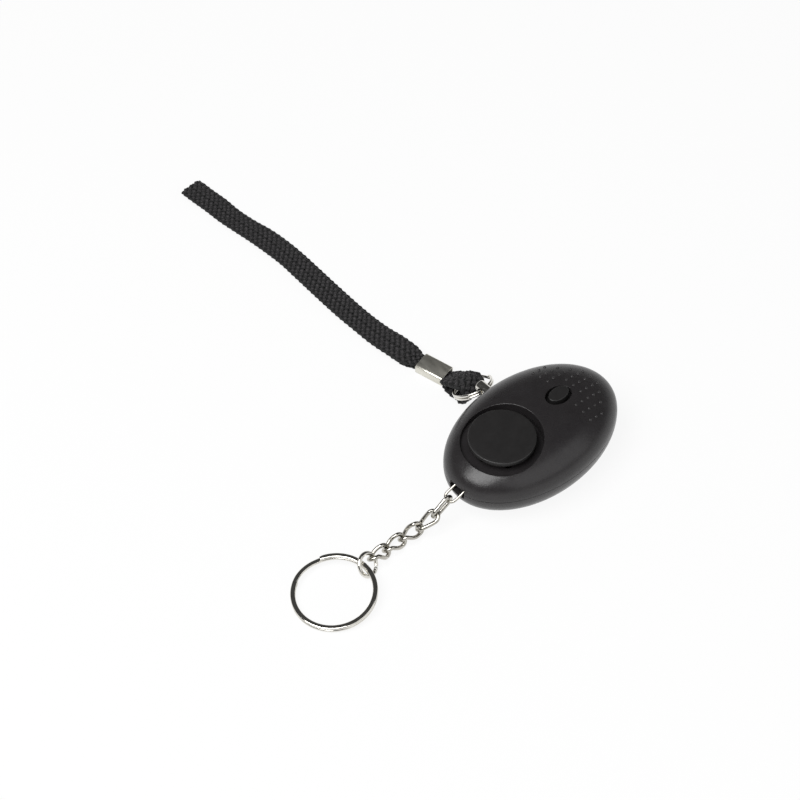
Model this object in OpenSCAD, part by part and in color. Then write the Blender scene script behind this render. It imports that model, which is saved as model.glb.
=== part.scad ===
// Personal safety alarm: an oval case with a siren, a pull pin on a wrist strap and a key chain.
// Millimetres. +X points to the dotted grip end, +Y to the pull pin and +Z up from the flat base.

/* [Case] */
// Length of the case
case_length = 60; // [58:0.5:66]
// Width of the case
case_width = 39; // [38:0.5:44]
// Height of the line where the two shells meet
parting_height = 12; // [11.8:0.1:13]
// Rise of the top shell above the parting line
crown_rise = 10.2; // [10:0.1:12]
// Depth of the bottom curve that the flat base cuts away
base_cut = 0.6; // [0.3:0.1:1]
// Power of the rounded profile, 2 for an ellipse and more for a squarer one
case_power = 2.4; // [2.3:0.05:2.7]
// Thickness of the shells
wall = 1.5; // [1.2:0.1:1.6]
// Height of the lip that lines up the two shells
lip_height = 1; // [0.6:0.1:1.1]
// Thickness of the lip
lip_wall = 0.8; // [0.6:0.1:1]

/* [Siren] */
// Distance of the siren's axis from the middle of the case, towards the chain
siren_offset = 12.1; // [11.5:0.1:12.5]
// Diameter of the siren recess
recess_d = 24.2; // [23:0.1:24.6]
// Height of the recess floor above the parting line
recess_level = 5.6; // [5.4:0.1:6]
// Thickness of the recess wall and floor
cup_wall = 1.2; // [1:0.1:1.3]
// Diameter of the siren cap
cap_d = 19.8; // [18:0.1:20.4]
// Height of the cap's top above the parting line
cap_level = 9.7; // [9:0.1:10]
// Thickness of the cap's plate
cap_plate = 1.5; // [1:0.1:2]
// Diameter of the cap's stem
cap_stem_d = 10; // [8:0.1:11]
// Bevel round the cap's top edge
cap_bevel = 0.35; // [0.2:0.05:0.5]
// Diameter of the cap's spigot in the recess floor
spigot_d = 5; // [4:0.1:6]
// Diameter of the sound holes in the recess floor
sound_hole_d = 2.6; // [2:0.1:2.8]
// Number of sound holes
sound_holes = 6; // [4:1:8]

/* [Button] */
// Distance of the button from the middle of the case, towards the grip
button_offset = 10.6; // [10:0.1:11.5]
// Length of the button's face
button_length = 7; // [6:0.1:7.4]
// Width of the button's face
button_width = 4.4; // [4:0.1:5]
// Gap round the button
button_gap = 1; // [0.6:0.05:1.1]
// Height of the button's face above the case
button_proud = 0.7; // [0.5:0.1:1]
// Width of the flange that keeps the button in
button_flange = 1.6; // [1.5:0.05:1.65]
// Thickness of that flange
flange_height = 0.8; // [0.6:0.1:1]

/* [Grip dots] */
// Diameter of a grip dot
dot_d = 0.9; // [0.7:0.05:1.1]
// Height of a grip dot
dot_height = 0.3; // [0.2:0.05:0.4]
// Spacing of the dots along the case
dot_pitch_x = 2.4; // [2:0.1:2.8]
// Spacing of the dots across the case
dot_pitch_y = 2.95; // [2.5:0.05:3.2]

/* [Electronics] */
// Diameter of a button cell
cell_d = 11.6; // [11:0.1:11.6]
// Height of a button cell
cell_height = 5.4; // [5:0.1:5.4]
// Thickness of the cell contacts
contact_sheet = 0.4; // [0.3:0.05:0.5]
// Thickness of the circuit board
board_thickness = 1.2; // [1:0.1:1.3]
// Length of the circuit board
board_length = 18; // [17.5:0.1:18.5]
// Width of the circuit board
board_width = 26; // [24:0.5:26]
// Side of the push switch
switch_side = 6; // [5:0.1:6]
// Height of the push switch's body
switch_height = 3.3; // [3:0.1:3.4]
// Diameter of the push switch's plunger
plunger_d = 3.4; // [3:0.1:3.6]
// Diameter of the sounder disc
piezo_d = 20.3; // [19:0.1:20.4]
// Thickness of the sounder disc's plate
piezo_sheet = 0.25; // [0.2:0.05:0.3]
// Diameter of the ceramic on the sounder disc
ceramic_d = 14; // [12:0.1:15]
// Diameter of the coil's core
coil_d = 7; // [6:0.1:7.4]
// Height of the coil
coil_height = 5; // [4:0.1:5.2]
// Diameter of the torch lamp
lamp_d = 3; // [3:0.1:3.4]

/* [Screws] */
// Diameter of a case screw
screw_d = 2; // [1.8:0.1:2]
// Length of a screw below its head
screw_length = 10; // [9.5:0.1:10.2]
// Diameter of a screw head
screw_head_d = 3.8; // [3.4:0.1:4]
// Height of a screw head
screw_head_height = 1.5; // [1.2:0.1:1.6]

/* [Pull pin] */
// Distance of the pin from the middle of the case, towards the grip
pin_offset = 1.8; // [1.6:0.1:2]
// Diameter of the pin's shank
pin_d = 3; // [2.6:0.1:3]
// Length of the shank
pin_shank = 10.2; // [9.6:0.1:10.4]
// Diameter of the pin's head
pin_head_d = 3.6; // [3.6:0.1:3.8]
// Length of the pin's head
pin_head = 4.3; // [4.2:0.1:4.6]
// Running clearance of the shank in its socket
pin_clearance = 0.05; // [0.02:0.01:0.08]
// Diameter of the ring hole through the head
ring_hole_d = 2.4; // [2.4:0.05:2.5]
// Outer diameter of the ring on the pin
pin_ring_d = 13; // [12.6:0.1:13.2]
// Thickness of the ring's wire
pin_ring_wire = 0.8; // [0.7:0.05:0.8]
// Angle that the ring hangs down from the pin
pin_ring_droop = 35; // [33:1:37]

/* [Wrist strap] */
// Width of the strap
strap_width = 7.4; // [6.8:0.1:7.4]
// Thickness of one layer of the strap
strap_thickness = 1.65; // [1.4:0.05:1.65]
// Length of the crimp sleeve
crimp_length = 9.7; // [9:0.1:10]
// Width of the crimp sleeve
crimp_width = 6.4; // [6.2:0.1:7]
// Thickness of the crimp's metal
crimp_sheet = 0.4; // [0.3:0.05:0.45]

/* [Key chain] */
// Thickness of the bail's wire
bail_wire = 0.9; // [0.8:0.05:1]
// Half the spacing of the bail's two sides
bail_radius = 1.85; // [1.8:0.05:1.9]
// Distance from the bail's post to its outer end
bail_reach = 6.4; // [6:0.1:7]
// Diameter of the bail's post
post_d = 1.8; // [1.6:0.1:1.8]
// Thickness of the links' wire
link_wire = 1.25; // [1.05:0.05:1.25]
// Length of a link between the middles of its end wires
link_reach = 7.5; // [7.2:0.1:7.7]
// Half the spacing of a link's two sides
link_radius = 1.8; // [1.8:0.05:1.9]
// Outer diameter of the jump ring
jump_ring_d = 7.9; // [7.6:0.1:8.2]
// Outer diameter of the key ring
key_ring_d = 25; // [24:0.5:28]
// Width of the key ring's band
key_ring_band = 1.5; // [1.3:0.05:1.6]
// Thickness of one turn of the key ring
key_ring_turn = 0.9; // [0.8:0.05:0.9]
// Gap between wires that hook together
wire_clearance = 0.3; // [0.25:0.05:0.35]

/* [Hidden] */

// Smoothness of round shapes, and a small overlap that makes cuts clean
$fn = 72;
cut = 1;
touch = 0.05;

// Points along a quarter of the rounded case profile
profile_steps = 16;

// Outer and inner half sizes of the case: half length, half width, rise and drop
keel_drop = parting_height + base_cut;
outer_half = [case_length / 2, case_width / 2];
inner_half = [case_length / 2 - wall, case_width / 2 - wall];

// Lip fit
lip_clearance = 0.1;
lip_root = 0.6;
lip_embed = 0.5;

// Siren
siren_x = -siren_offset;
recess_floor = parting_height + recess_level;
floor_underside = recess_floor - cup_wall;
cap_top = parting_height + cap_level;
spigot_clearance = 0.05;
sound_hole_margin = 1;
sound_hole_ring = (cap_stem_d + sound_hole_d) / 2 + sound_hole_margin;
piezo_clearance = 0.1;
piezo_seat = 0.75;
sounder_wall = 1.15;
sounder_height = 2;
sounder_ledge = 1;
sounder_d = piezo_d + 2 * piezo_clearance + 2 * sounder_wall;
sounder_low = floor_underside - sounder_height;
piezo_top = sounder_low + piezo_seat;
ceramic_height = 0.25;

// Button and switch, stacked down from the crown
button_x = button_offset;
board_lift = 0.2;
board_z = parting_height + lip_height + board_lift;
board_top = board_z + board_thickness;
switch_top = board_top + switch_height;
plunger_stand = 0.8;
plunger_well = 1.3;
plunger_reach = 0.5;
plunger_clearance = 0.1;
flange_z = switch_top + plunger_stand;
button_top = crown_z(button_x, 0) + button_proud;
button_bevel = 0.4;

// Circuit board
board_lead = 5.1;
board_x = button_x - board_lead;
board_edge_clearance = 0.9;
stake_inset = [1.9, 2];
stake_x = board_x + stake_inset[0];
stake_y = board_width / 2 - stake_inset[1];
stake_d = 1.6;
stake_clearance = 0.1;
stake_height = 0.5;
board_post_d = 3;
chip_size = [5, 4, 1.6];
chip_offset = [1, 4];
chip_at = [button_x + chip_offset[0], switch_side / 2 + chip_offset[1]];
coil_offset = [1.5, -3];
coil_at = [button_x + coil_offset[0], coil_offset[1]];
coil_flange = 0.8;
coil_groove = 1.5;
coil_core_d = coil_d - 2 * coil_groove;
winding_clearance = 0.05;
winding_inset = 0.3;

// Torch lamp in the grip end of the case
lamp_inset = 0.2;
lamp_tip = case_length / 2 - lamp_inset;
lamp_body = 4.6;
lamp_back = lamp_tip - lamp_body;
lamp_flange = 0.8;
lamp_seat = lamp_back + lamp_flange;
lamp_flange_rim = 0.4;
lamp_flange_d = lamp_d + 2 * lamp_flange_rim;
lamp_clearance = 0.1;
lamp_lead = 0.5;
lamp_lead_pitch = 1.3;
lamp_lead_overlap = 2;
lamp_lead_room = 2.5;
lamp_side_room = 0.4;
board_notch_x = lamp_back - lamp_lead_room;
board_notch_width = lamp_flange_d + 2 * lamp_side_room;
lamp_lead_start = min(board_x + board_length, board_notch_x) - lamp_lead_overlap;
lamp_saddle = 2;
lamp_saddle_width = 5;

// Cells, stacked across the case
cell_x = -10.5;
cell_count = 3;
cell_stack = cell_count * cell_height;
cell_floor_clearance = 0.3;
cell_z = keel_inner_z(cell_x, cell_stack / 2) + cell_floor_clearance + cell_d / 2;
cell_shoulder = 0.9;
cell_cap_d = cell_d - 2 * cell_shoulder;
cell_cap = 0.5;
contact_width = 8;
contact_height = 9;
cradle_wall = 1.2;
cradle_length = 10;
cradle_rise = 2.4;
cradle_clearance = 0.1;

// Screws: places of the grip pair and the middle pair
screw_at = [[17, 8], [17, -8], [-3.6, 13.6], [-3.6, -13.6]];
head_seat = 4.5;
screw_clearance = 0.2;
pilot_clearance = 0.02;
pilot_spare = 0.5;
head_clearance = 0.3;
boss_wall = 1.2;
boss_foot_wall = 1;
boss_foot_top = head_seat + 2;
board_hole_clearance = 0.4;

// Pull pin, its socket and contacts
pin_x = pin_offset;
pin_stand = 0.25;
pin_y = case_width / 2 + pin_stand;
pin_tip = pin_y - pin_shank;
pin_end = pin_y + pin_head;
pin_bevel = 0.5;
shell_pin_clearance = 0.15;
ring_hole_offset = 1.85;
ring_hole_y = pin_y + ring_hole_offset;
socket_wall = 1.3;
socket_width = pin_d + 2 * socket_wall;
socket_gap = 1.4;
socket_front = case_width / 2 - wall - lip_wall - socket_gap;
socket_tail = 2.4;
socket_back = pin_tip - socket_tail;
socket_drop = 3.5;
socket_low = parting_height - socket_drop;
socket_rise = 3;
socket_high = parting_height + socket_rise;
socket_floor = 1;
socket_bay_overlap = 0.3;
socket_bay = pin_tip + socket_bay_overlap;
socket_bay_width = 3.8;
leaf_sheet = 0.3;
leaf_width = 3;
leaf_play = 0.05;
stop_height = 1;
shelf_length = 7;

// Ring on the pin
pin_ring_radius = (pin_ring_d - pin_ring_wire) / 2;
pin_ring_turn_gap = 0.06;
pin_ring_split = 40;
ring_seat = 0.16;
pin_ring_hang = pin_ring_radius - ring_seat;
pin_ring_centre = [pin_x, ring_hole_y + pin_ring_hang * cos(pin_ring_droop),
                   parting_height - pin_ring_hang * sin(pin_ring_droop)];

// Split rings: the wire climbs to its second turn over this arc, and ends before it
climb_start = 318;
climb_end = 356;
second_turn_end = 674;
ring_step = 12;

// Route of the strap: x, y, height of the lower layer, height of the upper layer, share of the width and
// share of the skew, by which the two layers lie askew
strap_skew = 0.85;
strap_stations = [
  [1.95, 29.1, 3.4, 9.2, 1.18, 0.3],
  [1.8, 31.5, 2.75, 8.4, 1.18, 0.6],
  [2.1, 33.5, 2.2, 6.4, 1.22, 0.8],
  [2.75, 35.3, 1.6, 4.7, 1.15, 0.6],
  [3.05, 36.7, 1.2, 3.3, 0.98, 0.2],
  [3.08, 37.6, 1.05, 2.35, 0.69, 0],
  [1.75, 43.4, 1.05, 2.35, 0.69, 0],
  [0.55, 48.6, 1.05, 2.35, 0.69, 0],
  [-0.05, 52, 0.92, 2.85, 1.05, 0.5],
  [-0.65, 58, 0.97, 3.05, 1.1, 1],
  [-1.55, 65, 0.92, 2.98, 1.05, 1],
  [-1.8, 71, 0.88, 2.93, 1, 1],
  [-1.9, 78, 0.88, 2.93, 1, 1],
  [-1.7, 85, 0.88, 2.93, 1, 1],
  [-1.4, 92, 0.88, 2.93, 1, 1],
  [-1, 100, 0.88, 2.93, 1, 1],
  [-0.7, 107, 0.88, 2.93, 1, 1],
  [-0.9, 114, 0.9, 2.95, 1.03, 1],
  [-1.5, 121, 0.9, 2.95, 1.03, 1],
  [-2.6, 128, 0.88, 2.93, 0.97, 1],
  [-3.4, 135, 0.88, 2.93, 0.97, 1],
  [-3.6, 142, 0.88, 2.93, 1, 1],
  [-4.1, 148, 0.88, 2.93, 1, 1],
  [-4.3, 151.9, 0.88, 2.93, 1, 1]
];
crimp_station = 6;
strap_butt = 0.2;
fold_steps = [-60, -20, 20, 60];
crimp_clearance = 0.05;

// Chain: 0 is the bail, 1 to 5 the links, 6 the jump ring and 7 the key ring
post_inset = 2.7;
post_x = -case_length / 2 + post_inset;
bail_back = 1.75;
notch_width = 5.6;
notch_height = 3.3;
notch_depth = 5.3;
notch_wall = 1.1;
jump_radius = (jump_ring_d - link_wire) / 2;
key_radius = (key_ring_d - key_ring_band) / 2;
key_turn_gap = 0.06;
key_ring_split = 120;
key_play = 0.5;
chain_yaw = [6, 2.5, 15.5, 10.5, 1, -3, -18, 3.5];
chain_pitch = [-25.5, -34, -31, -11.5, 0, 14.5, 2, -6.5];
roll_start = [0, 95, 10, 55, 45, 45, 53, 0];
roll_end = [0, 97, -30, -45, -45, -45, 53, 0];
key_hook = 2 * key_ring_turn + key_turn_gap + key_play;
chain_wire = [bail_wire, link_wire, link_wire, link_wire, link_wire, link_wire, link_wire, key_hook];
chain_reach = [bail_back + bail_reach, link_reach, link_reach, link_reach, link_reach, link_reach,
               2 * jump_radius, 2 * key_radius];
wire_sides = 8;

// Height of the outer crown, the inner crown and the inner keel above the floor
function spread(x, y, half) = sqrt(pow(x / half[0], 2) + pow(y / half[1], 2));
function bulge(k) = pow(1 - pow(min(k, 1), case_power), 1 / case_power);
function crown_z(x, y) = parting_height + crown_rise * bulge(spread(x, y, outer_half));
function keel_inner_z(x, y) = parting_height - (keel_drop - wall) * bulge(spread(x, y, inner_half));

// Unit normal of the crown
function crown_slope(k) =
  -crown_rise * pow(k, case_power - 1) * pow(1 - pow(k, case_power), 1 / case_power - 1);
function unit(v) = v / norm(v);
function crown_normal(x, y) =
  let (k = spread(x, y, outer_half))
  let (s = crown_slope(k) / k)
  unit([-s * x / pow(outer_half[0], 2), -s * y / pow(outer_half[1], 2), 1]);

// Frames of the chain: heading, level side vector and the vector square to both
function heading(i) =
  let (yaw = chain_yaw[i])
  let (pitch = chain_pitch[i])
  [-cos(pitch) * cos(yaw), cos(pitch) * sin(yaw), sin(pitch)];
function level_side(i) = [sin(chain_yaw[i]), cos(chain_yaw[i]), 0];
function upward(i) = cross(level_side(i), heading(i));
function half_gap(i) = (chain_wire[i - 1] + chain_wire[i]) / 4 + wire_clearance / 2;
function start_apex(i) =
  i == 0
    ? [post_x, 0, parting_height] - bail_back * heading(0)
    : end_apex(i - 1) - half_gap(i) * (heading(i - 1) + heading(i));
function end_apex(i) = start_apex(i) + chain_reach[i] * heading(i);

// One round of a link with round ends: pairs of distance along the link and distance off its axis
function link_round(reach, radius) = concat(
  [for (a = [-90:22.5:90]) [reach - radius + radius * cos(a), radius * sin(a)]],
  [for (t = [0.25, 0.5, 0.75]) [reach - radius - t * (reach - 2 * radius), radius]],
  [for (a = [90:22.5:270]) [radius + radius * cos(a), radius * sin(a)]],
  [for (t = [0.25, 0.5, 0.75]) [radius + t * (reach - 2 * radius), -radius]]
);
function twist_at(i, s, reach, radius) =
  let (share = min(1, max(0, (s - radius) / (reach - 2 * radius))))
  roll_start[i] + share * (roll_end[i] - roll_start[i]);
function link_line(i, radius) = [
  for (p = link_round(chain_reach[i], radius))
    let (roll = twist_at(i, p[0], chain_reach[i], radius))
    start_apex(i) + p[0] * heading(i) + p[1] * (cos(roll) * level_side(i) + sin(roll) * upward(i))
];
function link_normals(i, radius) = [
  for (p = link_round(chain_reach[i], radius))
    let (roll = twist_at(i, p[0], chain_reach[i], radius))
    cos(roll) * upward(i) - sin(roll) * level_side(i)
];

// Cross-sections of wires and of the strap: offsets across and along the normal
function round_section(d) = [
  for (k = [0:wire_sides - 1]) d / 2 * [cos(360 * (k + 0.5) / wire_sides), sin(360 * (k + 0.5) / wire_sides)]
];
function flat_section(width, height, bevel) = [
  [width / 2, -height / 2 + bevel], [width / 2, height / 2 - bevel],
  [width / 2 - bevel, height / 2], [-width / 2 + bevel, height / 2],
  [-width / 2, height / 2 - bevel], [-width / 2, -height / 2 + bevel],
  [-width / 2 + bevel, -height / 2], [width / 2 - bevel, -height / 2]
];

// Line of a two-turn ring, and of the strap from butt end to butt end
function climb(a) = min(1, max(0, (a - climb_start) / (climb_end - climb_start)));
function split_line(radius, rise) = [
  for (a = [0:ring_step:second_turn_end]) [radius * cos(a), radius * sin(a), (climb(a) - 0.5) * rise]
];
function last_station() = len(strap_stations) - 1;
function station_side(k) =
  let (ahead = strap_stations[min(k + 1, last_station())])
  let (behind = strap_stations[max(k - 1, 0)])
  unit([ahead[1] - behind[1], behind[0] - ahead[0], 0]);
function layer(k, high) =
  let (s = strap_stations[k])
  let (place = [s[0], s[1], high ? s[3] : s[2]] + (high ? -1 : 1) * strap_skew * s[5] * station_side(k))
  concat(place, s[4]);
function fold(k, outward) =
  let (s = strap_stations[k])
  let (along = cross([0, 0, 1], station_side(k)) * outward)
  let (middle = [s[0], s[1], (s[2] + s[3]) / 2])
  let (radius = (s[3] - s[2]) / 2)
  let (sway = strap_skew * s[5])
  [for (a = fold_steps)
    let (level = radius * cos(a) * along + sway * sin(a) * station_side(k))
    concat(middle + level - [0, 0, outward * radius * sin(a)], s[4])];
function strap_line() = concat(
  [layer(crimp_station, true) + [0, strap_butt, 0, 0]],
  [for (k = [crimp_station + 1:last_station()]) layer(k, true)],
  fold(last_station(), 1),
  [for (k = [last_station():-1:0]) layer(k, false)],
  fold(0, -1),
  [for (k = [0:crimp_station - 1]) layer(k, true)],
  [layer(crimp_station, true) - [0, strap_butt, 0, 0]]
);
function strap_sides() = concat(
  [for (k = [crimp_station:last_station()]) station_side(k)],
  [for (a = fold_steps) station_side(last_station())],
  [for (k = [last_station():-1:0]) station_side(k)],
  [for (a = fold_steps) station_side(0)],
  [for (k = [0:crimp_station]) station_side(k)]
);

// Tube along a line. Each ring of the tube lies across the line, turned to the given side vector, or
// along that vector itself where it is to stay level.
module tube(line, sides, sections, closed, level = false) {
  n = len(line);
  m = len(sections[0]);
  function tangent(i) =
    closed
      ? unit(line[(i + 1) % n] - line[(i + n - 1) % n])
      : unit(line[min(i + 1, n - 1)] - line[max(i - 1, 0)]);
  function rim(i) =
    let (t = tangent(i))
    let (up = unit(cross(t, sides[i])))
    let (side = level ? sides[i] : cross(up, t))
    [for (q = sections[i]) line[i] + q[0] * side + q[1] * up];
  points = [for (i = [0:n - 1]) each rim(i)];
  spans = closed ? n : n - 1;
  skin = [
    for (i = [0:spans - 1])
      for (k = [0:m - 1])
        let (a = i * m + k)
        let (b = i * m + (k + 1) % m)
        let (c = ((i + 1) % n) * m + (k + 1) % m)
        let (d = ((i + 1) % n) * m + k)
        each [[a, c, b], [a, d, c]]
  ];
  ends = closed ? [] : [
    [for (k = [0:m - 1]) k],
    [for (k = [m - 1:-1:0]) (n - 1) * m + k]
  ];
  polyhedron(points, concat(skin, ends), convexity = 10);
}

// Outline spun round in quarter turns and stretched to an oval of the given length for its width
module oval_turn(stretch) {
  scale([stretch, 1, 1])
    for (quarter = [0:3])
      rotate([0, 0, 90 * quarter])
        rotate_extrude(angle = 90)
          children();
}

// Half of a rounded case
module dome(half, rise) {
  profile = [
    for (i = [0:profile_steps])
      let (a = 90 * i / profile_steps)
      [half[1] * pow(cos(a), 2 / case_power), rise * pow(sin(a), 2 / case_power)]
  ];
  oval_turn(half[0] / half[1]) polygon(concat([[0, 0]], profile));
}

module crown(half, rise) {
  translate([0, 0, parting_height]) dome(half, rise);
}

module keel(half, drop, floor_z) {
  intersection() {
    translate([0, 0, parting_height]) mirror([0, 0, 1]) dome(half, drop);
    translate([-case_length, -case_length, floor_z])
      cube([2 * case_length, 2 * case_length, parting_height - floor_z]);
  }
}

// Oval prism
module oval(length, width, height) {
  oval_turn(length / width) square([width / 2, height]);
}

// Box centred across a point, from one height to another
module block(x0, x1, width, z0, z1) {
  translate([x0, -width / 2, z0]) cube([x1 - x0, width, z1 - z0]);
}

// Cuts that both shells share
module shell_openings() {
  translate([pin_x, 0, parting_height])
    rotate([-90, 0, 0])
      translate([0, 0, socket_front])
        cylinder(d = pin_d + 2 * shell_pin_clearance, h = case_width);
  translate([lamp_seat, 0, parting_height])
    rotate([0, 90, 0])
      cylinder(d = lamp_d + 2 * lamp_clearance, h = case_length);
  block(-case_length, -case_length / 2 + notch_depth, notch_width,
        parting_height - notch_height / 2, parting_height + notch_height / 2);
}

module notch_box(z0, z1) {
  block(-case_length / 2, -case_length / 2 + notch_depth + notch_wall, notch_width + 2 * notch_wall, z0, z1);
}

module grip_dot(x, y) {
  ball_r = (pow(dot_d / 2, 2) + pow(dot_height, 2)) / (2 * dot_height);
  normal = crown_normal(x, y);
  translate([x, y, crown_z(x, y)] - (ball_r - dot_height) * normal)
    sphere(r = ball_r, $fn = 16);
}

module grip_dots() {
  dot_rows = 4;
  dot_columns = 6;
  first_x = 12;
  edge_share = 0.84;
  button_margin = [1.3, 1.6];
  for (j = [-dot_rows:dot_rows])
    for (i = [0:dot_columns - 1]) {
      x = first_x + dot_pitch_x * i;
      y = dot_pitch_y * j;
      beyond_button = x > button_x + button_length / 2 + button_margin[0];
      beside_button = abs(y) > button_width / 2 + button_margin[1];
      on_crown = spread(x, y, outer_half) < edge_share;
      if (on_crown && (beyond_button || beside_button)) grip_dot(x, y);
    }
}

module top_shell() {
  color("#2b292a")
    difference() {
      union() {
        difference() {
          crown(outer_half, crown_rise);
          translate([0, 0, -touch]) crown(inner_half, crown_rise - wall + touch);
        }
        intersection() {
          crown(outer_half, crown_rise);
          union() {
            translate([siren_x, 0, floor_underside])
              cylinder(d = recess_d + 2 * cup_wall, h = crown_rise);
            for (at = screw_at)
              translate([at[0], at[1], parting_height])
                cylinder(d = screw_d + 2 * boss_wall, h = crown_rise);
            notch_box(parting_height, parting_height + notch_height / 2 + notch_wall);
          }
        }
        grip_dots();
      }
      translate([siren_x, 0, recess_floor]) cylinder(d = recess_d, h = crown_rise);
      translate([siren_x, 0, floor_underside - cut])
        cylinder(d = spigot_d + 2 * spigot_clearance, h = cup_wall + 2 * cut);
      for (k = [0:sound_holes - 1])
        translate([siren_x, 0, floor_underside - cut])
          rotate([0, 0, 360 * k / sound_holes])
            translate([sound_hole_ring, 0, 0])
              cylinder(d = sound_hole_d, h = cup_wall + 2 * cut);
      translate([button_x, 0, flange_z])
        oval(button_length + 2 * button_gap, button_width + 2 * button_gap, crown_rise);
      for (at = screw_at)
        translate([at[0], at[1], parting_height - cut])
          cylinder(d = screw_d + 2 * pilot_clearance,
                   h = cut + head_seat + screw_length + pilot_spare - parting_height);
      shell_openings();
    }
}

// Prism on the inner outline of the case, grown by the given distance
module inner_oval(grow, height) {
  oval(2 * (inner_half[0] + grow), 2 * (inner_half[1] + grow), height);
}

module lip() {
  translate([0, 0, parting_height - lip_root])
    difference() {
      union() {
        inner_oval(-lip_clearance, lip_root + lip_height);
        inner_oval(lip_embed, lip_root);
      }
      translate([0, 0, -cut]) inner_oval(-lip_clearance - lip_wall, lip_root + lip_height + 2 * cut);
      block(-case_length, 0, notch_width + 2 * notch_wall + 2 * lip_clearance,
            lip_root, lip_root + lip_height + cut);
    }
}

// Ribs and saddle that hold the cells
module cell_cradle() {
  rib = cell_stack / 2 + contact_sheet;
  for (side = [-1, 1])
    translate([cell_x - cradle_length / 2, side > 0 ? rib : -rib - cradle_wall, 0])
      cube([cradle_length, cradle_wall, cell_z]);
  difference() {
    translate([cell_x - cradle_length / 2, -cell_stack / 2, 0])
      cube([cradle_length, cell_stack, cell_z - cell_d / 2 + cradle_rise]);
    translate([cell_x, -cell_stack, cell_z])
      rotate([-90, 0, 0])
        cylinder(d = cell_d + 2 * cradle_clearance, h = 2 * cell_stack);
  }
}

// Seats inside the bottom shell, trimmed to the keel
module bottom_seats() {
  for (at = screw_at) {
    translate([at[0], at[1], 0])
      cylinder(d = screw_head_d + 2 * head_clearance + 2 * boss_foot_wall, h = boss_foot_top);
    translate([at[0], at[1], 0]) cylinder(d = screw_d + 2 * boss_wall, h = parting_height);
  }
  for (side = [-1, 1])
    translate([stake_x, side * stake_y, 0])
      cylinder(d = board_post_d, h = board_z);
  cell_cradle();
  translate([pin_x - socket_width / 2, socket_front - shelf_length, 0])
    cube([socket_width, shelf_length, socket_low]);
  block(lamp_seat + lamp_clearance, lamp_seat + lamp_clearance + lamp_saddle,
        lamp_saddle_width, 0, parting_height);
  notch_box(parting_height - notch_height / 2 - notch_wall, parting_height);
}

module bottom_shell() {
  color("#272526") {
    difference() {
      union() {
        difference() {
          keel(outer_half, keel_drop, 0);
          translate([0, 0, touch]) keel(inner_half, keel_drop - wall, -base_cut);
        }
        intersection() {
          union() {
            keel(outer_half, keel_drop, 0);
            translate([0, 0, parting_height - touch]) inner_oval(-lip_clearance, crown_rise);
          }
          bottom_seats();
        }
        lip();
        for (side = [-1, 1])
          translate([stake_x, side * stake_y, board_z - cut])
            cylinder(d = stake_d, h = cut + board_thickness + stake_height);
      }
      for (at = screw_at)
        translate([at[0], at[1], 0]) {
          translate([0, 0, -cut])
            cylinder(d = screw_head_d + 2 * head_clearance, h = cut + head_seat);
          cylinder(d = screw_d + 2 * screw_clearance, h = parting_height + cut);
        }
      shell_openings();
    }
    translate([post_x, 0, parting_height - notch_height / 2 - touch])
      cylinder(d = post_d, h = notch_height + touch);
  }
}

module siren_cap() {
  color("#2a2829")
    translate([siren_x, 0, 0])
      rotate_extrude()
        polygon([
          [0, floor_underside], [spigot_d / 2, floor_underside], [spigot_d / 2, recess_floor],
          [cap_stem_d / 2, recess_floor], [cap_stem_d / 2, cap_top - cap_plate],
          [cap_d / 2, cap_top - cap_plate], [cap_d / 2, cap_top - cap_bevel],
          [cap_d / 2 - cap_bevel, cap_top], [0, cap_top]
        ]);
}

module sounder_ring() {
  ledge_d = piezo_d - 2 * sounder_ledge;
  color("#202022")
    translate([siren_x, 0, sounder_low])
      difference() {
        cylinder(d = sounder_d, h = sounder_height);
        translate([0, 0, -cut]) cylinder(d = ledge_d, h = sounder_height + 2 * cut);
        translate([0, 0, -cut])
          cylinder(d = piezo_d + 2 * piezo_clearance, h = cut + piezo_seat);
      }
}

module piezo_plate() {
  color("#b8953c")
    translate([siren_x, 0, piezo_top - piezo_sheet])
      cylinder(d = piezo_d, h = piezo_sheet);
}

module piezo_ceramic() {
  color("#e6e2d6")
    translate([siren_x, 0, piezo_top - piezo_sheet - ceramic_height])
      cylinder(d = ceramic_d, h = ceramic_height);
}

module circuit_board() {
  board_half = [inner_half[0] - board_edge_clearance, inner_half[1] - board_edge_clearance];
  color("#1d5a34")
    difference() {
      intersection() {
        translate([board_x, -board_width / 2, board_z])
          cube([board_length, board_width, board_thickness]);
        translate([0, 0, board_z - cut])
          oval(2 * board_half[0], 2 * board_half[1], board_thickness + 2 * cut);
      }
      for (at = screw_at)
        translate([at[0], at[1], board_z - cut])
          cylinder(d = screw_d + 2 * boss_wall + 2 * board_hole_clearance, h = board_thickness + 2 * cut);
      for (side = [-1, 1])
        translate([stake_x, side * stake_y, board_z - cut])
          cylinder(d = stake_d + 2 * stake_clearance, h = board_thickness + 2 * cut);
      block(board_notch_x, case_length, board_notch_width, board_z - cut, board_top + cut);
    }
}

module boost_coil() {
  color("#3a3a3c")
    translate([coil_at[0], coil_at[1], board_z - coil_height])
      rotate_extrude()
        polygon([
          [0, 0], [coil_d / 2, 0], [coil_d / 2, coil_flange], [coil_core_d / 2, coil_flange],
          [coil_core_d / 2, coil_height - coil_flange], [coil_d / 2, coil_height - coil_flange],
          [coil_d / 2, coil_height], [0, coil_height]
        ]);
}

module coil_winding() {
  color("#b4622a")
    translate([coil_at[0], coil_at[1], board_z - coil_height + coil_flange + winding_clearance])
      difference() {
        cylinder(d = coil_d - 2 * winding_inset, h = coil_height - 2 * coil_flange - 2 * winding_clearance);
        translate([0, 0, -cut])
          cylinder(d = coil_core_d + 2 * winding_clearance, h = coil_height + cut);
      }
}

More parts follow.
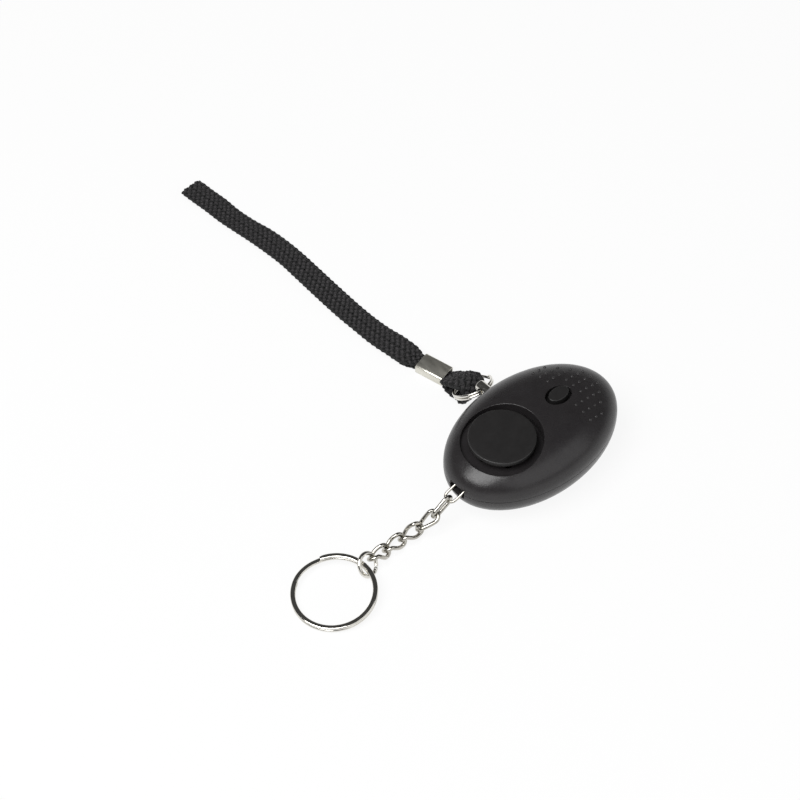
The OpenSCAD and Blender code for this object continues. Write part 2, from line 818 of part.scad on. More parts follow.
module driver_chip() {
  color("#1a1a1c")
    translate([chip_at[0] - chip_size[0] / 2, chip_at[1] - chip_size[1] / 2, board_top])
      cube(chip_size);
}

module switch_body() {
  color("#303033")
    difference() {
      translate([button_x - switch_side / 2, -switch_side / 2, board_top])
        cube([switch_side, switch_side, switch_height]);
      translate([button_x, 0, switch_top - plunger_well])
        cylinder(d = plunger_d + 2 * plunger_clearance, h = plunger_well + cut);
    }
}

module switch_plunger() {
  color("#d8d6d0")
    translate([button_x, 0, switch_top - plunger_reach])
      cylinder(d = plunger_d, h = plunger_reach + plunger_stand);
}

module light_button() {
  half = button_width / 2;
  color("#2d2b2c")
    translate([button_x, 0, 0])
      oval_turn(button_length / button_width)
        polygon([
          [0, flange_z], [half + button_flange, flange_z], [half + button_flange, flange_z + flange_height],
          [half, flange_z + flange_height], [half, button_top - button_bevel],
          [half - button_bevel, button_top], [0, button_top]
        ]);
}

module torch_lamp() {
  color("#e8eef2")
    translate([0, 0, parting_height]) {
      rotate([0, 90, 0])
        rotate_extrude()
          polygon(concat(
            [[0, lamp_back], [lamp_flange_d / 2, lamp_back], [lamp_flange_d / 2, lamp_seat],
             [lamp_d / 2, lamp_seat]],
            [for (a = [0:15:90]) [lamp_d / 2 * cos(a), lamp_tip - lamp_d / 2 + lamp_d / 2 * sin(a)]]
          ));
      for (side = [-1, 1])
        translate([lamp_lead_start, side * lamp_lead_pitch / 2 - lamp_lead / 2,
                   board_z - parting_height - lamp_lead])
          cube([lamp_back - lamp_lead_start + touch, lamp_lead, lamp_lead]);
    }
}

module cell(index) {
  from = -cell_stack / 2 + index * cell_height;
  color("#c9c9c6")
    translate([cell_x, from, cell_z])
      rotate([-90, 0, 0])
        rotate_extrude()
          polygon([
            [0, 0], [cell_d / 2, 0], [cell_d / 2, cell_height - cell_cap],
            [cell_cap_d / 2, cell_height - cell_cap], [cell_cap_d / 2, cell_height], [0, cell_height]
          ]);
}

module cell_contact(side) {
  color("#b9b4a4")
    translate([cell_x - contact_width / 2, side > 0 ? cell_stack / 2 : -cell_stack / 2 - contact_sheet,
               cell_z - contact_height / 2])
      cube([contact_width, contact_sheet, contact_height]);
}

module pin_socket() {
  color("#d9d6cc")
    difference() {
      translate([pin_x - socket_width / 2, socket_back, socket_low])
        cube([socket_width, socket_front - socket_back, socket_high - socket_low]);
      translate([pin_x, socket_back - cut, parting_height])
        rotate([-90, 0, 0])
          cylinder(d = pin_d + 2 * pin_clearance, h = socket_front - socket_back + 2 * cut);
      translate([pin_x - socket_bay_width / 2, socket_back - cut, socket_low + socket_floor])
        cube([socket_bay_width, socket_bay - socket_back + cut, socket_high - socket_low]);
    }
}

// Spring leaf that the pin's tip holds off the stop
module contact_leaf() {
  color("#b08a3e")
    translate([pin_x - leaf_width / 2, pin_tip - leaf_play - leaf_sheet, socket_low + socket_floor])
      cube([leaf_width, leaf_sheet, socket_high - socket_low - socket_floor]);
}

module contact_stop() {
  color("#b08a3e")
    translate([pin_x - leaf_width / 2, socket_bay - leaf_sheet, socket_high - stop_height])
      cube([leaf_width, leaf_sheet, stop_height]);
}

module case_screws() {
  slot_width = 0.5;
  slot_length = 1.2 * screw_d;
  color("#8f9194")
    for (at = screw_at)
      translate([at[0], at[1], head_seat]) {
        cylinder(d = screw_d, h = screw_length);
        difference() {
          translate([0, 0, -screw_head_height]) cylinder(d = screw_head_d, h = screw_head_height);
          for (turn = [0, 90])
            rotate([0, 0, turn])
              translate([-slot_length / 2, -slot_width / 2, -screw_head_height - cut])
                cube([slot_length, slot_width, cut + screw_head_height / 2]);
        }
      }
}

module pull_pin() {
  color("#b7b5ae")
    difference() {
      translate([pin_x, 0, parting_height])
        rotate([-90, 0, 0])
          rotate_extrude()
            polygon([
              [0, pin_tip], [pin_d / 2 - pin_bevel, pin_tip], [pin_d / 2, pin_tip + pin_bevel],
              [pin_d / 2, pin_y], [pin_head_d / 2, pin_y], [pin_head_d / 2, pin_end - pin_bevel],
              [pin_head_d / 2 - pin_bevel, pin_end], [0, pin_end]
            ]);
      translate([pin_x - pin_head_d, ring_hole_y, parting_height])
        rotate([0, 90, 0])
          cylinder(d = ring_hole_d, h = 2 * pin_head_d);
    }
}

// Two-turn ring of flat wire, lying level about its own centre
module split_ring(diameter, band, turn, gap) {
  line = split_line((diameter - band) / 2, turn + gap);
  outward = [for (p = line) unit([p[0], p[1], 0])];
  sections = [for (p = line) flat_section(band, turn, min(band, turn) / 4)];
  tube(line, outward, sections, false);
}

module pin_ring() {
  color("#c4c2bc")
    translate(pin_ring_centre)
      rotate([-pin_ring_droop, 0, 0])
        rotate([0, 0, pin_ring_split])
          split_ring(pin_ring_d, pin_ring_wire, pin_ring_wire, pin_ring_turn_gap);
}

module strap_crimp() {
  near = strap_stations[crimp_station - 1];
  far = strap_stations[crimp_station + 1];
  middle = strap_stations[crimp_station];
  layer_height = strap_thickness * middle[4];
  low = middle[2] - layer_height / 2 - crimp_clearance;
  high = middle[3] + layer_height / 2 + crimp_clearance;
  color("#8d8a80")
    translate([middle[0], middle[1], 0])
      rotate([0, 0, atan2(near[0] - far[0], far[1] - near[1])])
        difference() {
          translate([-crimp_width / 2, -crimp_length / 2, low - crimp_sheet])
            cube([crimp_width, crimp_length, high - low + 2 * crimp_sheet]);
          translate([-crimp_width / 2 + crimp_sheet, -crimp_length, low])
            cube([crimp_width - 2 * crimp_sheet, 2 * crimp_length, high - low]);
        }
}

module wrist_strap() {
  line = [for (p = strap_line()) [p[0], p[1], p[2]]];
  sections = [
    for (p = strap_line()) p[3] * flat_section(strap_width, strap_thickness, strap_thickness / 3)
  ];
  color("#3a3a3c") tube(line, strap_sides(), sections, false, level = true);
}

module chain_piece(i, radius) {
  line = link_line(i, radius);
  color("#c4c2bc")
    tube(line, link_normals(i, radius), [for (p = line) round_section(chain_wire[i])], true);
}

module jump_ring() {
  centre = (start_apex(6) + end_apex(6)) / 2;
  normal = cos(roll_start[6]) * upward(6) - sin(roll_start[6]) * level_side(6);
  color("#c4c2bc")
    translate(centre)
      rotate([0, acos(normal[2]), atan2(normal[1], normal[0])])
        rotate_extrude()
          translate([jump_radius, 0, 0])
            circle(d = link_wire, $fn = 24);
}

module key_ring() {
  color("#c4c2bc")
    translate((start_apex(7) + end_apex(7)) / 2)
      rotate([0, 0, -chain_yaw[7]])
        rotate([0, chain_pitch[7], 0])
          rotate([0, 0, key_ring_split])
            split_ring(key_ring_d, key_ring_band, key_ring_turn, key_turn_gap);
}

top_shell();
bottom_shell();
siren_cap();
sounder_ring();
piezo_plate();
piezo_ceramic();
circuit_board();
boost_coil();
coil_winding();
driver_chip();
switch_body();
switch_plunger();
light_button();
torch_lamp();
cell(0);  // cell_1
cell(1);  // cell_2
cell(2);  // cell_3
cell_contact(1);  // contact_plus
cell_contact(-1);  // contact_minus
pin_socket();
contact_leaf();
contact_stop();
case_screws();
pull_pin();
pin_ring();
strap_crimp();
wrist_strap();
chain_piece(0, bail_radius);  // chain_bail
chain_piece(1, link_radius);  // chain_link_1
chain_piece(2, link_radius);  // chain_link_2
chain_piece(3, link_radius);  // chain_link_3
chain_piece(4, link_radius);  // chain_link_4
chain_piece(5, link_radius);  // chain_link_5
jump_ring();
key_ring();
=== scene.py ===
"""Looks of a personal safety alarm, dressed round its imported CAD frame."""

import math

import bmesh
import bpy
import numpy as np
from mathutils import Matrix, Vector
from mathutils.geometry import delaunay_2d_cdt


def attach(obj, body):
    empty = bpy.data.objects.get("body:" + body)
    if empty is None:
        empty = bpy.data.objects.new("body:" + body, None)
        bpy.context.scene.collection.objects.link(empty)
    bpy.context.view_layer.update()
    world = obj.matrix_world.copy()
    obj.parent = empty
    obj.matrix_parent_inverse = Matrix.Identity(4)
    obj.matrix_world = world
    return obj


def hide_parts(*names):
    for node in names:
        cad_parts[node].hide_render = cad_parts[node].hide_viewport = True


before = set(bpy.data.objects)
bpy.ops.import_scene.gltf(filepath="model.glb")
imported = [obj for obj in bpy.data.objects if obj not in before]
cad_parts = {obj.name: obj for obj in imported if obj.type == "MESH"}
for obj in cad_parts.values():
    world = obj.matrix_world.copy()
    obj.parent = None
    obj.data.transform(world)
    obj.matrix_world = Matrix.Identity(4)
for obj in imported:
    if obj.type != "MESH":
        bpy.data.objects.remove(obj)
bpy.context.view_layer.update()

# Sizes are in millimetres up to the point where a mesh is made.
MM = 0.001

# Case
OUTER = (30.0, 19.5)
INNER = (28.5, 18.0)
PARTING = 12.0
CROWN = 10.2
KEEL = -12.6
WALL = 1.5
POWER = 2.4
PARTING_BEVEL = 0.14
# Rings of points on the outer and on the inner side of a shell
SHEET_RINGS = 56
INNER_RINGS = 28

# Siren
SIREN_X = -12.1
RECESS_R = 12.1
RECESS_FLOOR = 17.6
RECESS_FILLET = 0.25
CUP_R = 12.9
CUP_UNDERSIDE = 16.4
CAP_R = 9.9
CAP_TOP = 21.7
CAP_PLATE = 1.5
CAP_FILLET = 0.22
CAP_BEVEL = 0.1
CAP_TOP_RINGS = (CAP_R - 1.2, CAP_R * 0.5)
STEM_R = 5.0
STEM_BEVEL = 0.3
SPIGOT_R = 2.5
SPIGOT_GAP = 0.05
SOUND_HOLES = 6
SOUND_HOLE_R = 1.3
SOUND_HOLE_RING = 7.3

# Button
BUTTON_X = 10.6
BUTTON_HALF = (3.5, 2.2)
BUTTON_GAP = 1.0
BUTTON_PROUD = 0.7
BUTTON_FLANGE = (6.04, 3.8)
BUTTON_FLANGE_Z = 18.5
BUTTON_FLANGE_TOP = 19.3
BUTTON_FILLET = 0.22
BUTTON_RIM_FILLET = 0.15
# Its slightly domed top: distance in from the side and drop below the middle
BUTTON_DOME = ((0.0, 0.05), (0.9, 0.02), (1.5, 0.0))

# Openings in the sides
LAMP_HOLE_R = 1.6
PIN_X = 1.8
PIN_HOLE_R = 1.65
NOTCH_HALF = 2.8
NOTCH_RISE = 1.65
NOTCH_CORNER = 0.3
NOTCH_FRONT = -28.6
NOTCH_BACK = -24.7
NOTCH_WALL = 1.1
POST_X = -27.3
POST_R = 0.9
POST_ROOT = 0.05
POST_GAP = 0.02

# Screws
SCREW_AT = ((17, 8), (17, -8), (-3.6, 13.6), (-3.6, -13.6))
HEAD_HOLE_R = 2.2
HEAD_HOLE_BEVEL = 0.2
HEAD_SEAT = 4.5
SCREW_HOLE_R = 1.2
BOSS_R = 3.2
BOSS_TOP = 6.5

# Points round an edge that two sheets share
RECESS_POINTS = 160
BUTTON_POINTS = 72
BORE_POINTS = 40


def unit(v):
    v = np.asarray(v, float)
    return v / np.linalg.norm(v)


class Solid:
    """Points and faces of one piece, gathered before its mesh is made."""

    def __init__(self):
        self.points = []
        self.faces = []
        self.normals = {}

    def add(self, points):
        first = len(self.points)
        self.points.extend([tuple(p) for p in points])
        return list(range(first, len(self.points)))

    def strip(self, a, b):
        for i in range(len(a)):
            j = (i + 1) % len(a)
            self.faces.append((a[i], a[j], b[j], b[i]))

    def cap(self, row):
        self.faces.append(tuple(row))

    def loft(self, loops):
        """Joins point loops one after another and gives back their indices."""
        rows = [self.add(loop) for loop in loops]
        for a, b in zip(rows, rows[1:]):
            self.strip(a, b)
        return rows

    def capped_loft(self, loops):
        rows = self.loft(loops)
        self.cap(rows[0])
        self.cap(rows[-1])


def turns(count):
    return np.arange(count) * 2 * np.pi / count


def oval(half, centre, z, count):
    x = centre[0] + half[0] * np.cos(turns(count))
    y = centre[1] + half[1] * np.sin(turns(count))
    return np.column_stack([x, y, np.full(count, z)])


def circle(radius, centre, z, count):
    return oval((radius, radius), centre, z, count)


# Camera at the photograph's place
TARGET = np.array([-12.996, 42.603, 0.0])
AZIMUTH = math.radians(-42.318)
ELEVATION = math.radians(51.082)
DISTANCE = 702.58
LENS = 104.49
SENSOR = 36
CLIP = (0.01, 20)


def make_camera():
    back = np.array([
        math.sin(AZIMUTH) * math.cos(ELEVATION),
        -math.cos(AZIMUTH) * math.cos(ELEVATION),
        math.sin(ELEVATION),
    ])
    data = bpy.data.cameras.new("camera")
    data.sensor_width = SENSOR
    data.lens = LENS
    data.clip_start, data.clip_end = CLIP
    camera = bpy.data.objects.new("camera", data)
    camera.location = MM * (TARGET + DISTANCE * back)
    camera.rotation_euler = Vector(back).to_track_quat("Z", "Y").to_euler()
    bpy.context.collection.objects.link(camera)
    bpy.context.scene.camera = camera


make_camera()


# Materials
def linear(value):
    value = value / 255
    return value / 12.92 if value <= 0.04045 else ((value + 0.055) / 1.055) ** 2.4


def rgb(r, g, b):
    return (linear(r), linear(g), linear(b), 1.0)


def set_inputs(node, **values):
    for name, value in values.items():
        node.inputs[name.replace("_", " ")].default_value = value


def node_of(tree, kind, **values):
    node = tree.nodes.new(kind)
    set_inputs(node, **values)
    return node


def new_material(name):
    material = bpy.data.materials.new(name)
    material.use_nodes = True
    return material, material.node_tree, material.node_tree.nodes["Principled BSDF"]


def noise(tree, coords, scale, detail=3.0, roughness=0.5):
    node = node_of(tree, "ShaderNodeTexNoise", Scale=scale, Detail=detail, Roughness=roughness)
    tree.links.new(coords, node.inputs["Vector"])
    return node.outputs["Fac"]


def remap(tree, value, low, high, start=0.3, end=0.7):
    node = node_of(tree, "ShaderNodeMapRange", From_Min=start, From_Max=end, To_Min=low, To_Max=high)
    tree.links.new(value, node.inputs["Value"])
    return node.outputs["Result"]


def blend_colours(tree, factor, first, second):
    node = tree.nodes.new("ShaderNodeMix")
    node.data_type = "RGBA"
    tree.links.new(factor, node.inputs[0])
    node.inputs[6].default_value = first
    node.inputs[7].default_value = second
    return node.outputs[2]


def calc(tree, operation, *values):
    """Math node whose inputs are links or plain numbers."""
    node = tree.nodes.new("ShaderNodeMath")
    node.operation = operation
    for socket, value in zip(node.inputs, values):
        if isinstance(value, float):
            socket.default_value = value
        else:
            tree.links.new(value, socket)
    return node.outputs[0]


def mark_of(tree, name):
    node = tree.nodes.new("ShaderNodeAttribute")
    node.attribute_name = name
    return node.outputs["Fac"]


# The roughness of a finish drifts in smaller patches than its colour.
WEAR_PER_PATCH = 3.1
GRAIN_STRENGTH = 0.6


def finish_of(name, first, second, rough, metallic=0.0, patch=250, grain=8000, depth=0.004,
              stretch=(1, 1, 1), **sockets):
    """Material whose colour and roughness drift over the piece, with a fine grain on its surface."""
    material, tree, shader = new_material(name)
    place = tree.nodes.new("ShaderNodeTexCoord").outputs["Object"]
    mapping = node_of(tree, "ShaderNodeMapping", Scale=stretch)
    tree.links.new(place, mapping.inputs["Vector"])
    coords = mapping.outputs["Vector"]
    drift = remap(tree, noise(tree, coords, patch, detail=4.0), 0.0, 1.0)
    tree.links.new(blend_colours(tree, drift, first, second), shader.inputs["Base Color"])
    wear = noise(tree, coords, patch * WEAR_PER_PATCH, detail=5.0, roughness=0.6)
    tree.links.new(remap(tree, wear, rough[0], rough[1]), shader.inputs["Roughness"])
    bump = node_of(tree, "ShaderNodeBump", Strength=GRAIN_STRENGTH, Distance=depth * MM)
    tree.links.new(noise(tree, coords, grain, detail=2.0), bump.inputs["Height"])
    tree.links.new(bump.outputs["Normal"], shader.inputs["Normal"])
    set_inputs(shader, Metallic=metallic, **sockets)
    return material


case_look = finish_of(
    "case_plastic", rgb(37, 35, 36), rgb(42, 40, 41), (0.22, 0.32), patch=180, grain=2800, depth=0.035,
    Specular_IOR_Level=0.4,
)
cap_look = finish_of(
    "cap_plastic", rgb(31, 30, 30), rgb(35, 34, 34), (0.34, 0.42), patch=220, grain=2800, depth=0.02,
)
nickel_look = finish_of(
    "nickel", rgb(212, 209, 201), rgb(232, 230, 224), (0.09, 0.12), 1.0, patch=500, grain=5000,
    depth=0.0008,
)
chain_look = finish_of(
    "chain_nickel", rgb(172, 169, 160), rgb(196, 193, 186), (0.12, 0.16), 1.0, patch=600, grain=5000,
    depth=0.0008,
)
crimp_look = finish_of(
    "crimp_metal", rgb(212, 209, 198), rgb(228, 226, 216), (0.36, 0.46), 1.0, patch=400, grain=4000,
    depth=0.006, stretch=(1, 0.15, 1),
)
inner_looks = {
    "black_plastic": finish_of("black_plastic", rgb(30, 30, 32), rgb(40, 40, 42), (0.4, 0.55)),
    "pale_plastic": finish_of("pale_plastic", rgb(206, 203, 192), rgb(222, 219, 210), (0.4, 0.5)),
    "brass": finish_of("brass", rgb(196, 160, 84), rgb(214, 182, 108), (0.2, 0.34), 1.0),
    "ceramic": finish_of("ceramic", rgb(226, 222, 210), rgb(238, 235, 226), (0.5, 0.62)),
    "board": finish_of("board", rgb(26, 86, 50), rgb(36, 104, 62), (0.3, 0.42)),
    "ferrite": finish_of("ferrite", rgb(48, 48, 50), rgb(64, 63, 64), (0.55, 0.7)),
    "copper": finish_of(
        "copper", rgb(186, 104, 58), rgb(206, 124, 74), (0.24, 0.36), 1.0, stretch=(1, 1, 12)
    ),
    "lamp": finish_of(
        "lamp", rgb(236, 240, 242), rgb(246, 248, 250), (0.05, 0.1), Transmission_Weight=0.85
    ),
    "steel": finish_of("steel", rgb(168, 168, 170), rgb(190, 190, 192), (0.22, 0.36), 1.0),
}


# Strap yarn: the painted shade of its hollows, the colour of its ridges, and how far its twist shows among
# the fibres
YARN_SHADE = rgb(4, 4, 5)
YARN_PALE = rgb(72, 69, 71)
YARN_TWIST = 0.16
FIBRE_SCALE = 9000
FIBRE_DEPTH = 0.06


def strap_material():
    """Twisted dark yarn: fine fibres wind round each strand of the braid. Low places in the braid are
    darkened as painted shade.
    """
    material, tree, shader = new_material("strap_cord")
    place = tree.nodes.new("ShaderNodeTexCoord").outputs["Object"]
    fibre = noise(tree, place, FIBRE_SCALE, roughness=0.6)
    twist = calc(tree, "SINE", mark_of(tree, "strand_along"))
    yarn = calc(tree, "MULTIPLY_ADD", twist, YARN_TWIST, fibre)
    # painted shade: the colour darkens where the braid is low, in the hollows between strands
    ridge_shade = remap(tree, mark_of(tree, "strand_shade_lift"), 0.0, 1.0, start=0.6, end=1.0)
    tone = calc(tree, "MULTIPLY", remap(tree, yarn, 0.55, 1.0, start=0.25, end=0.75), ridge_shade)
    tree.links.new(blend_colours(tree, tone, YARN_SHADE, YARN_PALE), shader.inputs["Base Color"])
    tree.links.new(remap(tree, fibre, 0.62, 0.82), shader.inputs["Roughness"])
    bump = node_of(tree, "ShaderNodeBump", Strength=0.7, Distance=FIBRE_DEPTH * MM)
    tree.links.new(yarn, bump.inputs["Height"])
    tree.links.new(bump.outputs["Normal"], shader.inputs["Normal"])
    set_inputs(shader, Sheen_Weight=0.08, Sheen_Roughness=0.4)
    return material


strap_look = strap_material()


def mesh_of(name, solid):
    mesh = bpy.data.meshes.new(name)
    mesh.from_pydata((MM * np.asarray(solid.points, float)).tolist(), [], solid.faces)
    work = bmesh.new()
    work.from_mesh(mesh)
    bmesh.ops.recalc_face_normals(work, faces=work.faces)
    work.to_mesh(mesh)
    work.free()
    return mesh


def make_piece(node, solid, material, body, sharp=30):
    """Piece that stands for a CAD node. Edges turn sharp beyond the given angle in degrees."""
    name = node + "_visual"
    mesh = mesh_of(name, solid)
    mesh.shade_smooth()
    mesh.set_sharp_from_angle(angle=math.radians(sharp))
    if solid.normals:
        custom = np.zeros((len(mesh.loops), 3))
        for polygon in mesh.polygons:
            if polygon.index in solid.normals:
                known = solid.normals[polygon.index]
                for loop in polygon.loop_indices:
                    custom[loop] = known[mesh.loops[loop].vertex_index]
        mesh.normals_split_custom_set(custom.tolist())
    mesh.materials.append(material)
    piece = bpy.data.objects.new(name, mesh)
    bpy.context.collection.objects.link(piece)
    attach(piece, body)
    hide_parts(node)
    return piece


# Sweeps
def sweep(solid, line, sides, sections, closed):
    """Tube along a line. Each section lies across the line, turned to the given side vector."""
    line = np.asarray(line, float)
    n = len(line)
    if closed:
        tangents = np.roll(line, -1, axis=0) - np.roll(line, 1, axis=0)
    else:
        tangents = np.gradient(line, axis=0)
    loops = []
    for i in range(n):
        t = unit(tangents[i])
        up = unit(np.cross(t, sides[i]))
        side = np.cross(up, t)
        loops.append(line[i] + np.outer(sections[i][:, 0], side) + np.outer(sections[i][:, 1], up))
    if closed:
        rows = solid.loft(loops)
        solid.strip(rows[-1], rows[0])
    else:
        solid.capped_loft(loops)


def round_section(d, count=16):
    turn = (np.arange(count) + 0.5) * 2 * np.pi / count
    return d / 2 * np.column_stack([np.cos(turn), np.sin(turn)])


def rounded_section(width, height, corner, steps):
    """Rectangle with round corners, counter-clockwise from its right side."""
    points = []
    for sx, sy, start in ((1, 1, 0), (-1, 1, 90), (-1, -1, 180), (1, -1, 270)):
        for k in range(steps + 1):
            a = math.radians(start + 90 * k / steps)
            points.append((
                sx * (width / 2 - corner) + corner * math.cos(a),
                sy * (height / 2 - corner) + corner * math.sin(a),
            ))
    return np.array(points)


def turned(points, axis, degrees):
    a = math.radians(degrees)
    c, s = math.cos(a), math.sin(a)
    rows = {
        "x": ((1, 0, 0), (0, c, -s), (0, s, c)),
        "y": ((c, 0, s), (0, 1, 0), (-s, 0, c)),
        "z": ((c, -s, 0), (s, c, 0), (0, 0, 1)),
    }
    return np.asarray(points) @ np.array(rows[axis]).T


# Wrist strap, made first with the camera because it is the part's cord
STRAP_WIDTH = 7.4
STRAP_THICKNESS = 1.65
# Rows of x, y, height of the lower and of the upper layer, share of the width and share of the skew
STRAP_STATIONS = [
    (1.95, 29.1, 3.4, 9.2, 1.18, 0.3),
    (1.8, 31.5, 2.75, 8.4, 1.18, 0.6),
    (2.1, 33.5, 2.2, 6.4, 1.22, 0.8),
    (2.75, 35.3, 1.6, 4.7, 1.15, 0.6),
    (3.05, 36.7, 1.2, 3.3, 0.98, 0.2),
    (3.08, 37.6, 1.05, 2.35, 0.69, 0),
    (1.75, 43.4, 1.05, 2.35, 0.69, 0),
    (0.55, 48.6, 1.05, 2.35, 0.69, 0), (-0.05, 52, 0.92, 2.85, 1.05, 0.5), (-0.65, 58, 0.97, 3.05, 1.1, 1),
    (-1.55, 65, 0.92, 2.98, 1.05, 1), (-1.8, 71, 0.88, 2.93, 1, 1), (-1.9, 78, 0.88, 2.93, 1, 1),
    (-1.7, 85, 0.88, 2.93, 1, 1), (-1.4, 92, 0.88, 2.93, 1, 1), (-1, 100, 0.88, 2.93, 1, 1),
    (-0.7, 107, 0.88, 2.93, 1, 1), (-0.9, 114, 0.9, 2.95, 1.03, 1), (-1.5, 121, 0.9, 2.95, 1.03, 1),
    (-2.6, 128, 0.88, 2.93, 0.97, 1), (-3.4, 135, 0.88, 2.93, 0.97, 1), (-3.6, 142, 0.88, 2.93, 1, 1),
    (-4.1, 148, 0.88, 2.93, 1, 1), (-4.3, 151.9, 0.88, 2.93, 1, 1),
]
CRIMP_STATION = 6
STRAP_BUTT = 0.2
# The two layers of the long loop lie askew by this much each way.
STRAP_SKEW = 0.85
STRAP_SPACING = 0.4
FOLD_STEPS = range(-75, 76, 15)
STRANDS = 7
STRAND_SIZE = (1.5, 0.82)
STRAND_POINTS = 10
TWIST_PER_MM = 7.0
BRAID_PERIOD = 14.0
BRAID_SWING = (STRAP_THICKNESS - STRAND_SIZE[1]) / 2
# Part of a quarter turn over which a strand slows towards the strap's edge
BRAID_EASE = 0.8 * np.pi / 2
# The braid's stitches lie in lengthwise lanes, with painted shade in the grooves between them.
LANES = 4
LANE_SHADE = 0.3


def station_side(k):
    ahead = STRAP_STATIONS[min(k + 1, len(STRAP_STATIONS) - 1)]
    behind = STRAP_STATIONS[max(k - 1, 0)]
    return unit([ahead[1] - behind[1], behind[0] - ahead[0], 0])


def strap_route():
    """Line of the strap from butt end to butt end: rows of place, side vector and share of the width."""
    last = len(STRAP_STATIONS) - 1

    def layer(k, high, shift=0.0):
        s = STRAP_STATIONS[k]
        place = np.array([s[0], s[1] + shift, s[3] if high else s[2]])
        place = place + (-1 if high else 1) * STRAP_SKEW * s[5] * station_side(k)
        return [*place, *station_side(k), s[4]]

    def fold(k, outward):
        s = STRAP_STATIONS[k]
        along = np.cross([0, 0, 1], station_side(k)) * outward
        middle = np.array([s[0], s[1], (s[2] + s[3]) / 2])
        radius = (s[3] - s[2]) / 2
        rows = []
        for a in np.radians(FOLD_STEPS):
            askew = STRAP_SKEW * s[5] * math.sin(a) * station_side(k)
            place = middle + radius * math.cos(a) * along + askew
            place = place - np.array([0, 0, outward * radius * math.sin(a)])
            rows.append([*place, *station_side(k), s[4]])
        return rows

    rows = [layer(CRIMP_STATION, True, STRAP_BUTT)]
    rows += [layer(k, True) for k in range(CRIMP_STATION + 1, last + 1)]
    rows += fold(last, 1)
    rows += [layer(k, False) for k in range(last, -1, -1)]
    rows += fold(0, -1)
    rows += [layer(k, True) for k in range(CRIMP_STATION)]
    rows += [layer(CRIMP_STATION, True, -STRAP_BUTT)]
    return np.array(rows)


def smooth_rows(rows, spacing):
    """Rows of numbers joined by a smooth curve through all of them, read at an even spacing."""
    step = np.linalg.norm(np.diff(rows[:, :3], axis=0), axis=1)
    at = np.concatenate([[0], np.cumsum(step)])
    slope = np.gradient(rows, at, axis=0)
    fine = np.linspace(0, at[-1], int(at[-1] / (spacing / 4)) + 1)
    span = np.clip(np.searchsorted(at, fine, side="right") - 1, 0, len(at) - 2)
    h = (at[span + 1] - at[span])[:, None]
    t = ((fine - at[span])[:, None]) / h
    curve = (
        (2 * t**3 - 3 * t**2 + 1) * rows[span] + (t**3 - 2 * t**2 + t) * h * slope[span]
        + (3 * t**2 - 2 * t**3) * rows[span + 1] + (t**3 - t**2) * h * slope[span + 1]
    )
    length = np.concatenate([[0], np.cumsum(np.linalg.norm(np.diff(curve[:, :3], axis=0), axis=1))])
    even = np.linspace(0, length[-1], int(length[-1] / spacing) + 1)
    return even, np.column_stack([np.interp(even, length, curve[:, c]) for c in range(curve.shape[1])])


def make_strap():
    """Flat braid: each strand runs from edge to edge and back, over and under the others in turn."""
    at, rows = smooth_rows(strap_route(), STRAP_SPACING)
    place, share = rows[:, :3], rows[:, 6]
    tangent = np.gradient(place, axis=0)
    tangent /= np.linalg.norm(tangent, axis=1)[:, None]
    side = rows[:, 3:6] / np.linalg.norm(rows[:, 3:6], axis=1)[:, None]
    up = np.cross(tangent, side)
    up /= np.linalg.norm(up, axis=1)[:, None]
    half = (STRAP_WIDTH - STRAND_SIZE[1]) / 2
    turn = (np.arange(STRAND_POINTS) + 0.5) * 2 * np.pi / STRAND_POINTS
    section = np.column_stack([STRAND_SIZE[0] / 2 * np.cos(turn), STRAND_SIZE[1] / 2 * np.sin(turn)])
    solid = Solid()
    marks, shade_lifts = [], []
    for strand in range(STRANDS):
        phase = (at / BRAID_PERIOD + strand / STRANDS) % 1.0
        rightward = phase < 0.5
        across = np.where(rightward, 4 * phase - 1, 3 - 4 * phase)
        crossing = (across + 1) / 2 * STRANDS
        height = np.cos(np.pi * crossing) * np.where(rightward, 1, -1)
        height *= np.clip((1 - np.abs(across)) * STRANDS / 2, 0, 1)
        lateral = half * np.sin(across * BRAID_EASE) / math.sin(BRAID_EASE)
        line = place + side * (lateral * share)[:, None] + up * (BRAID_SWING * height * share)[:, None]
        sweep(solid, line, side, [section * s for s in share], False)
        for i in range(len(at)):
            marks.extend(at[i] * TWIST_PER_MM + turn)
            # lane falls to zero at the grooves between lanes, where painted shade darkens the yarn
            lane = np.abs(np.sin(np.pi * LANES * ((lateral[i] + section[:, 0]) / STRAP_WIDTH + 0.5)))
            # height of each point within the braid, which the strap's colour uses as painted shade in its
            # hollows
            lift = np.abs(BRAID_SWING * height[i] + section[:, 1]) * 2 / STRAP_THICKNESS
            shade_lifts.extend(lift * (1 - LANE_SHADE * (1 - lane) ** 2))
    strap = make_piece("wrist_strap", solid, strap_look, "strap", 60)
    for name, values in (("strand_along", marks), ("strand_shade_lift", shade_lifts)):
        layer = strap.data.attributes.new(name, "FLOAT", "POINT")
        layer.data.foreach_set("value", np.array(values, dtype=np.float32))
    return strap, place, at[-1]


strap, strap_line, strap_length = make_strap()


# Crimp sleeve: a strip of sheet bent round the strap, with its butt seam underneath
CRIMP_SIZE = (6.4, 9.7)
CRIMP_SHEET = 0.4
CRIMP_CORNER = 0.7
CRIMP_CORNER_STEPS = 5
CRIMP_INNER_CORNER = 0.12
CRIMP_SEAM = 0.12
CRIMP_GAP = 0.05
# Rounding of its cut ends: distance from the end and inset of the sheet's faces there
CRIMP_END = ((0.0, 0.13), (0.05, 0.05), (0.13, 0.0))


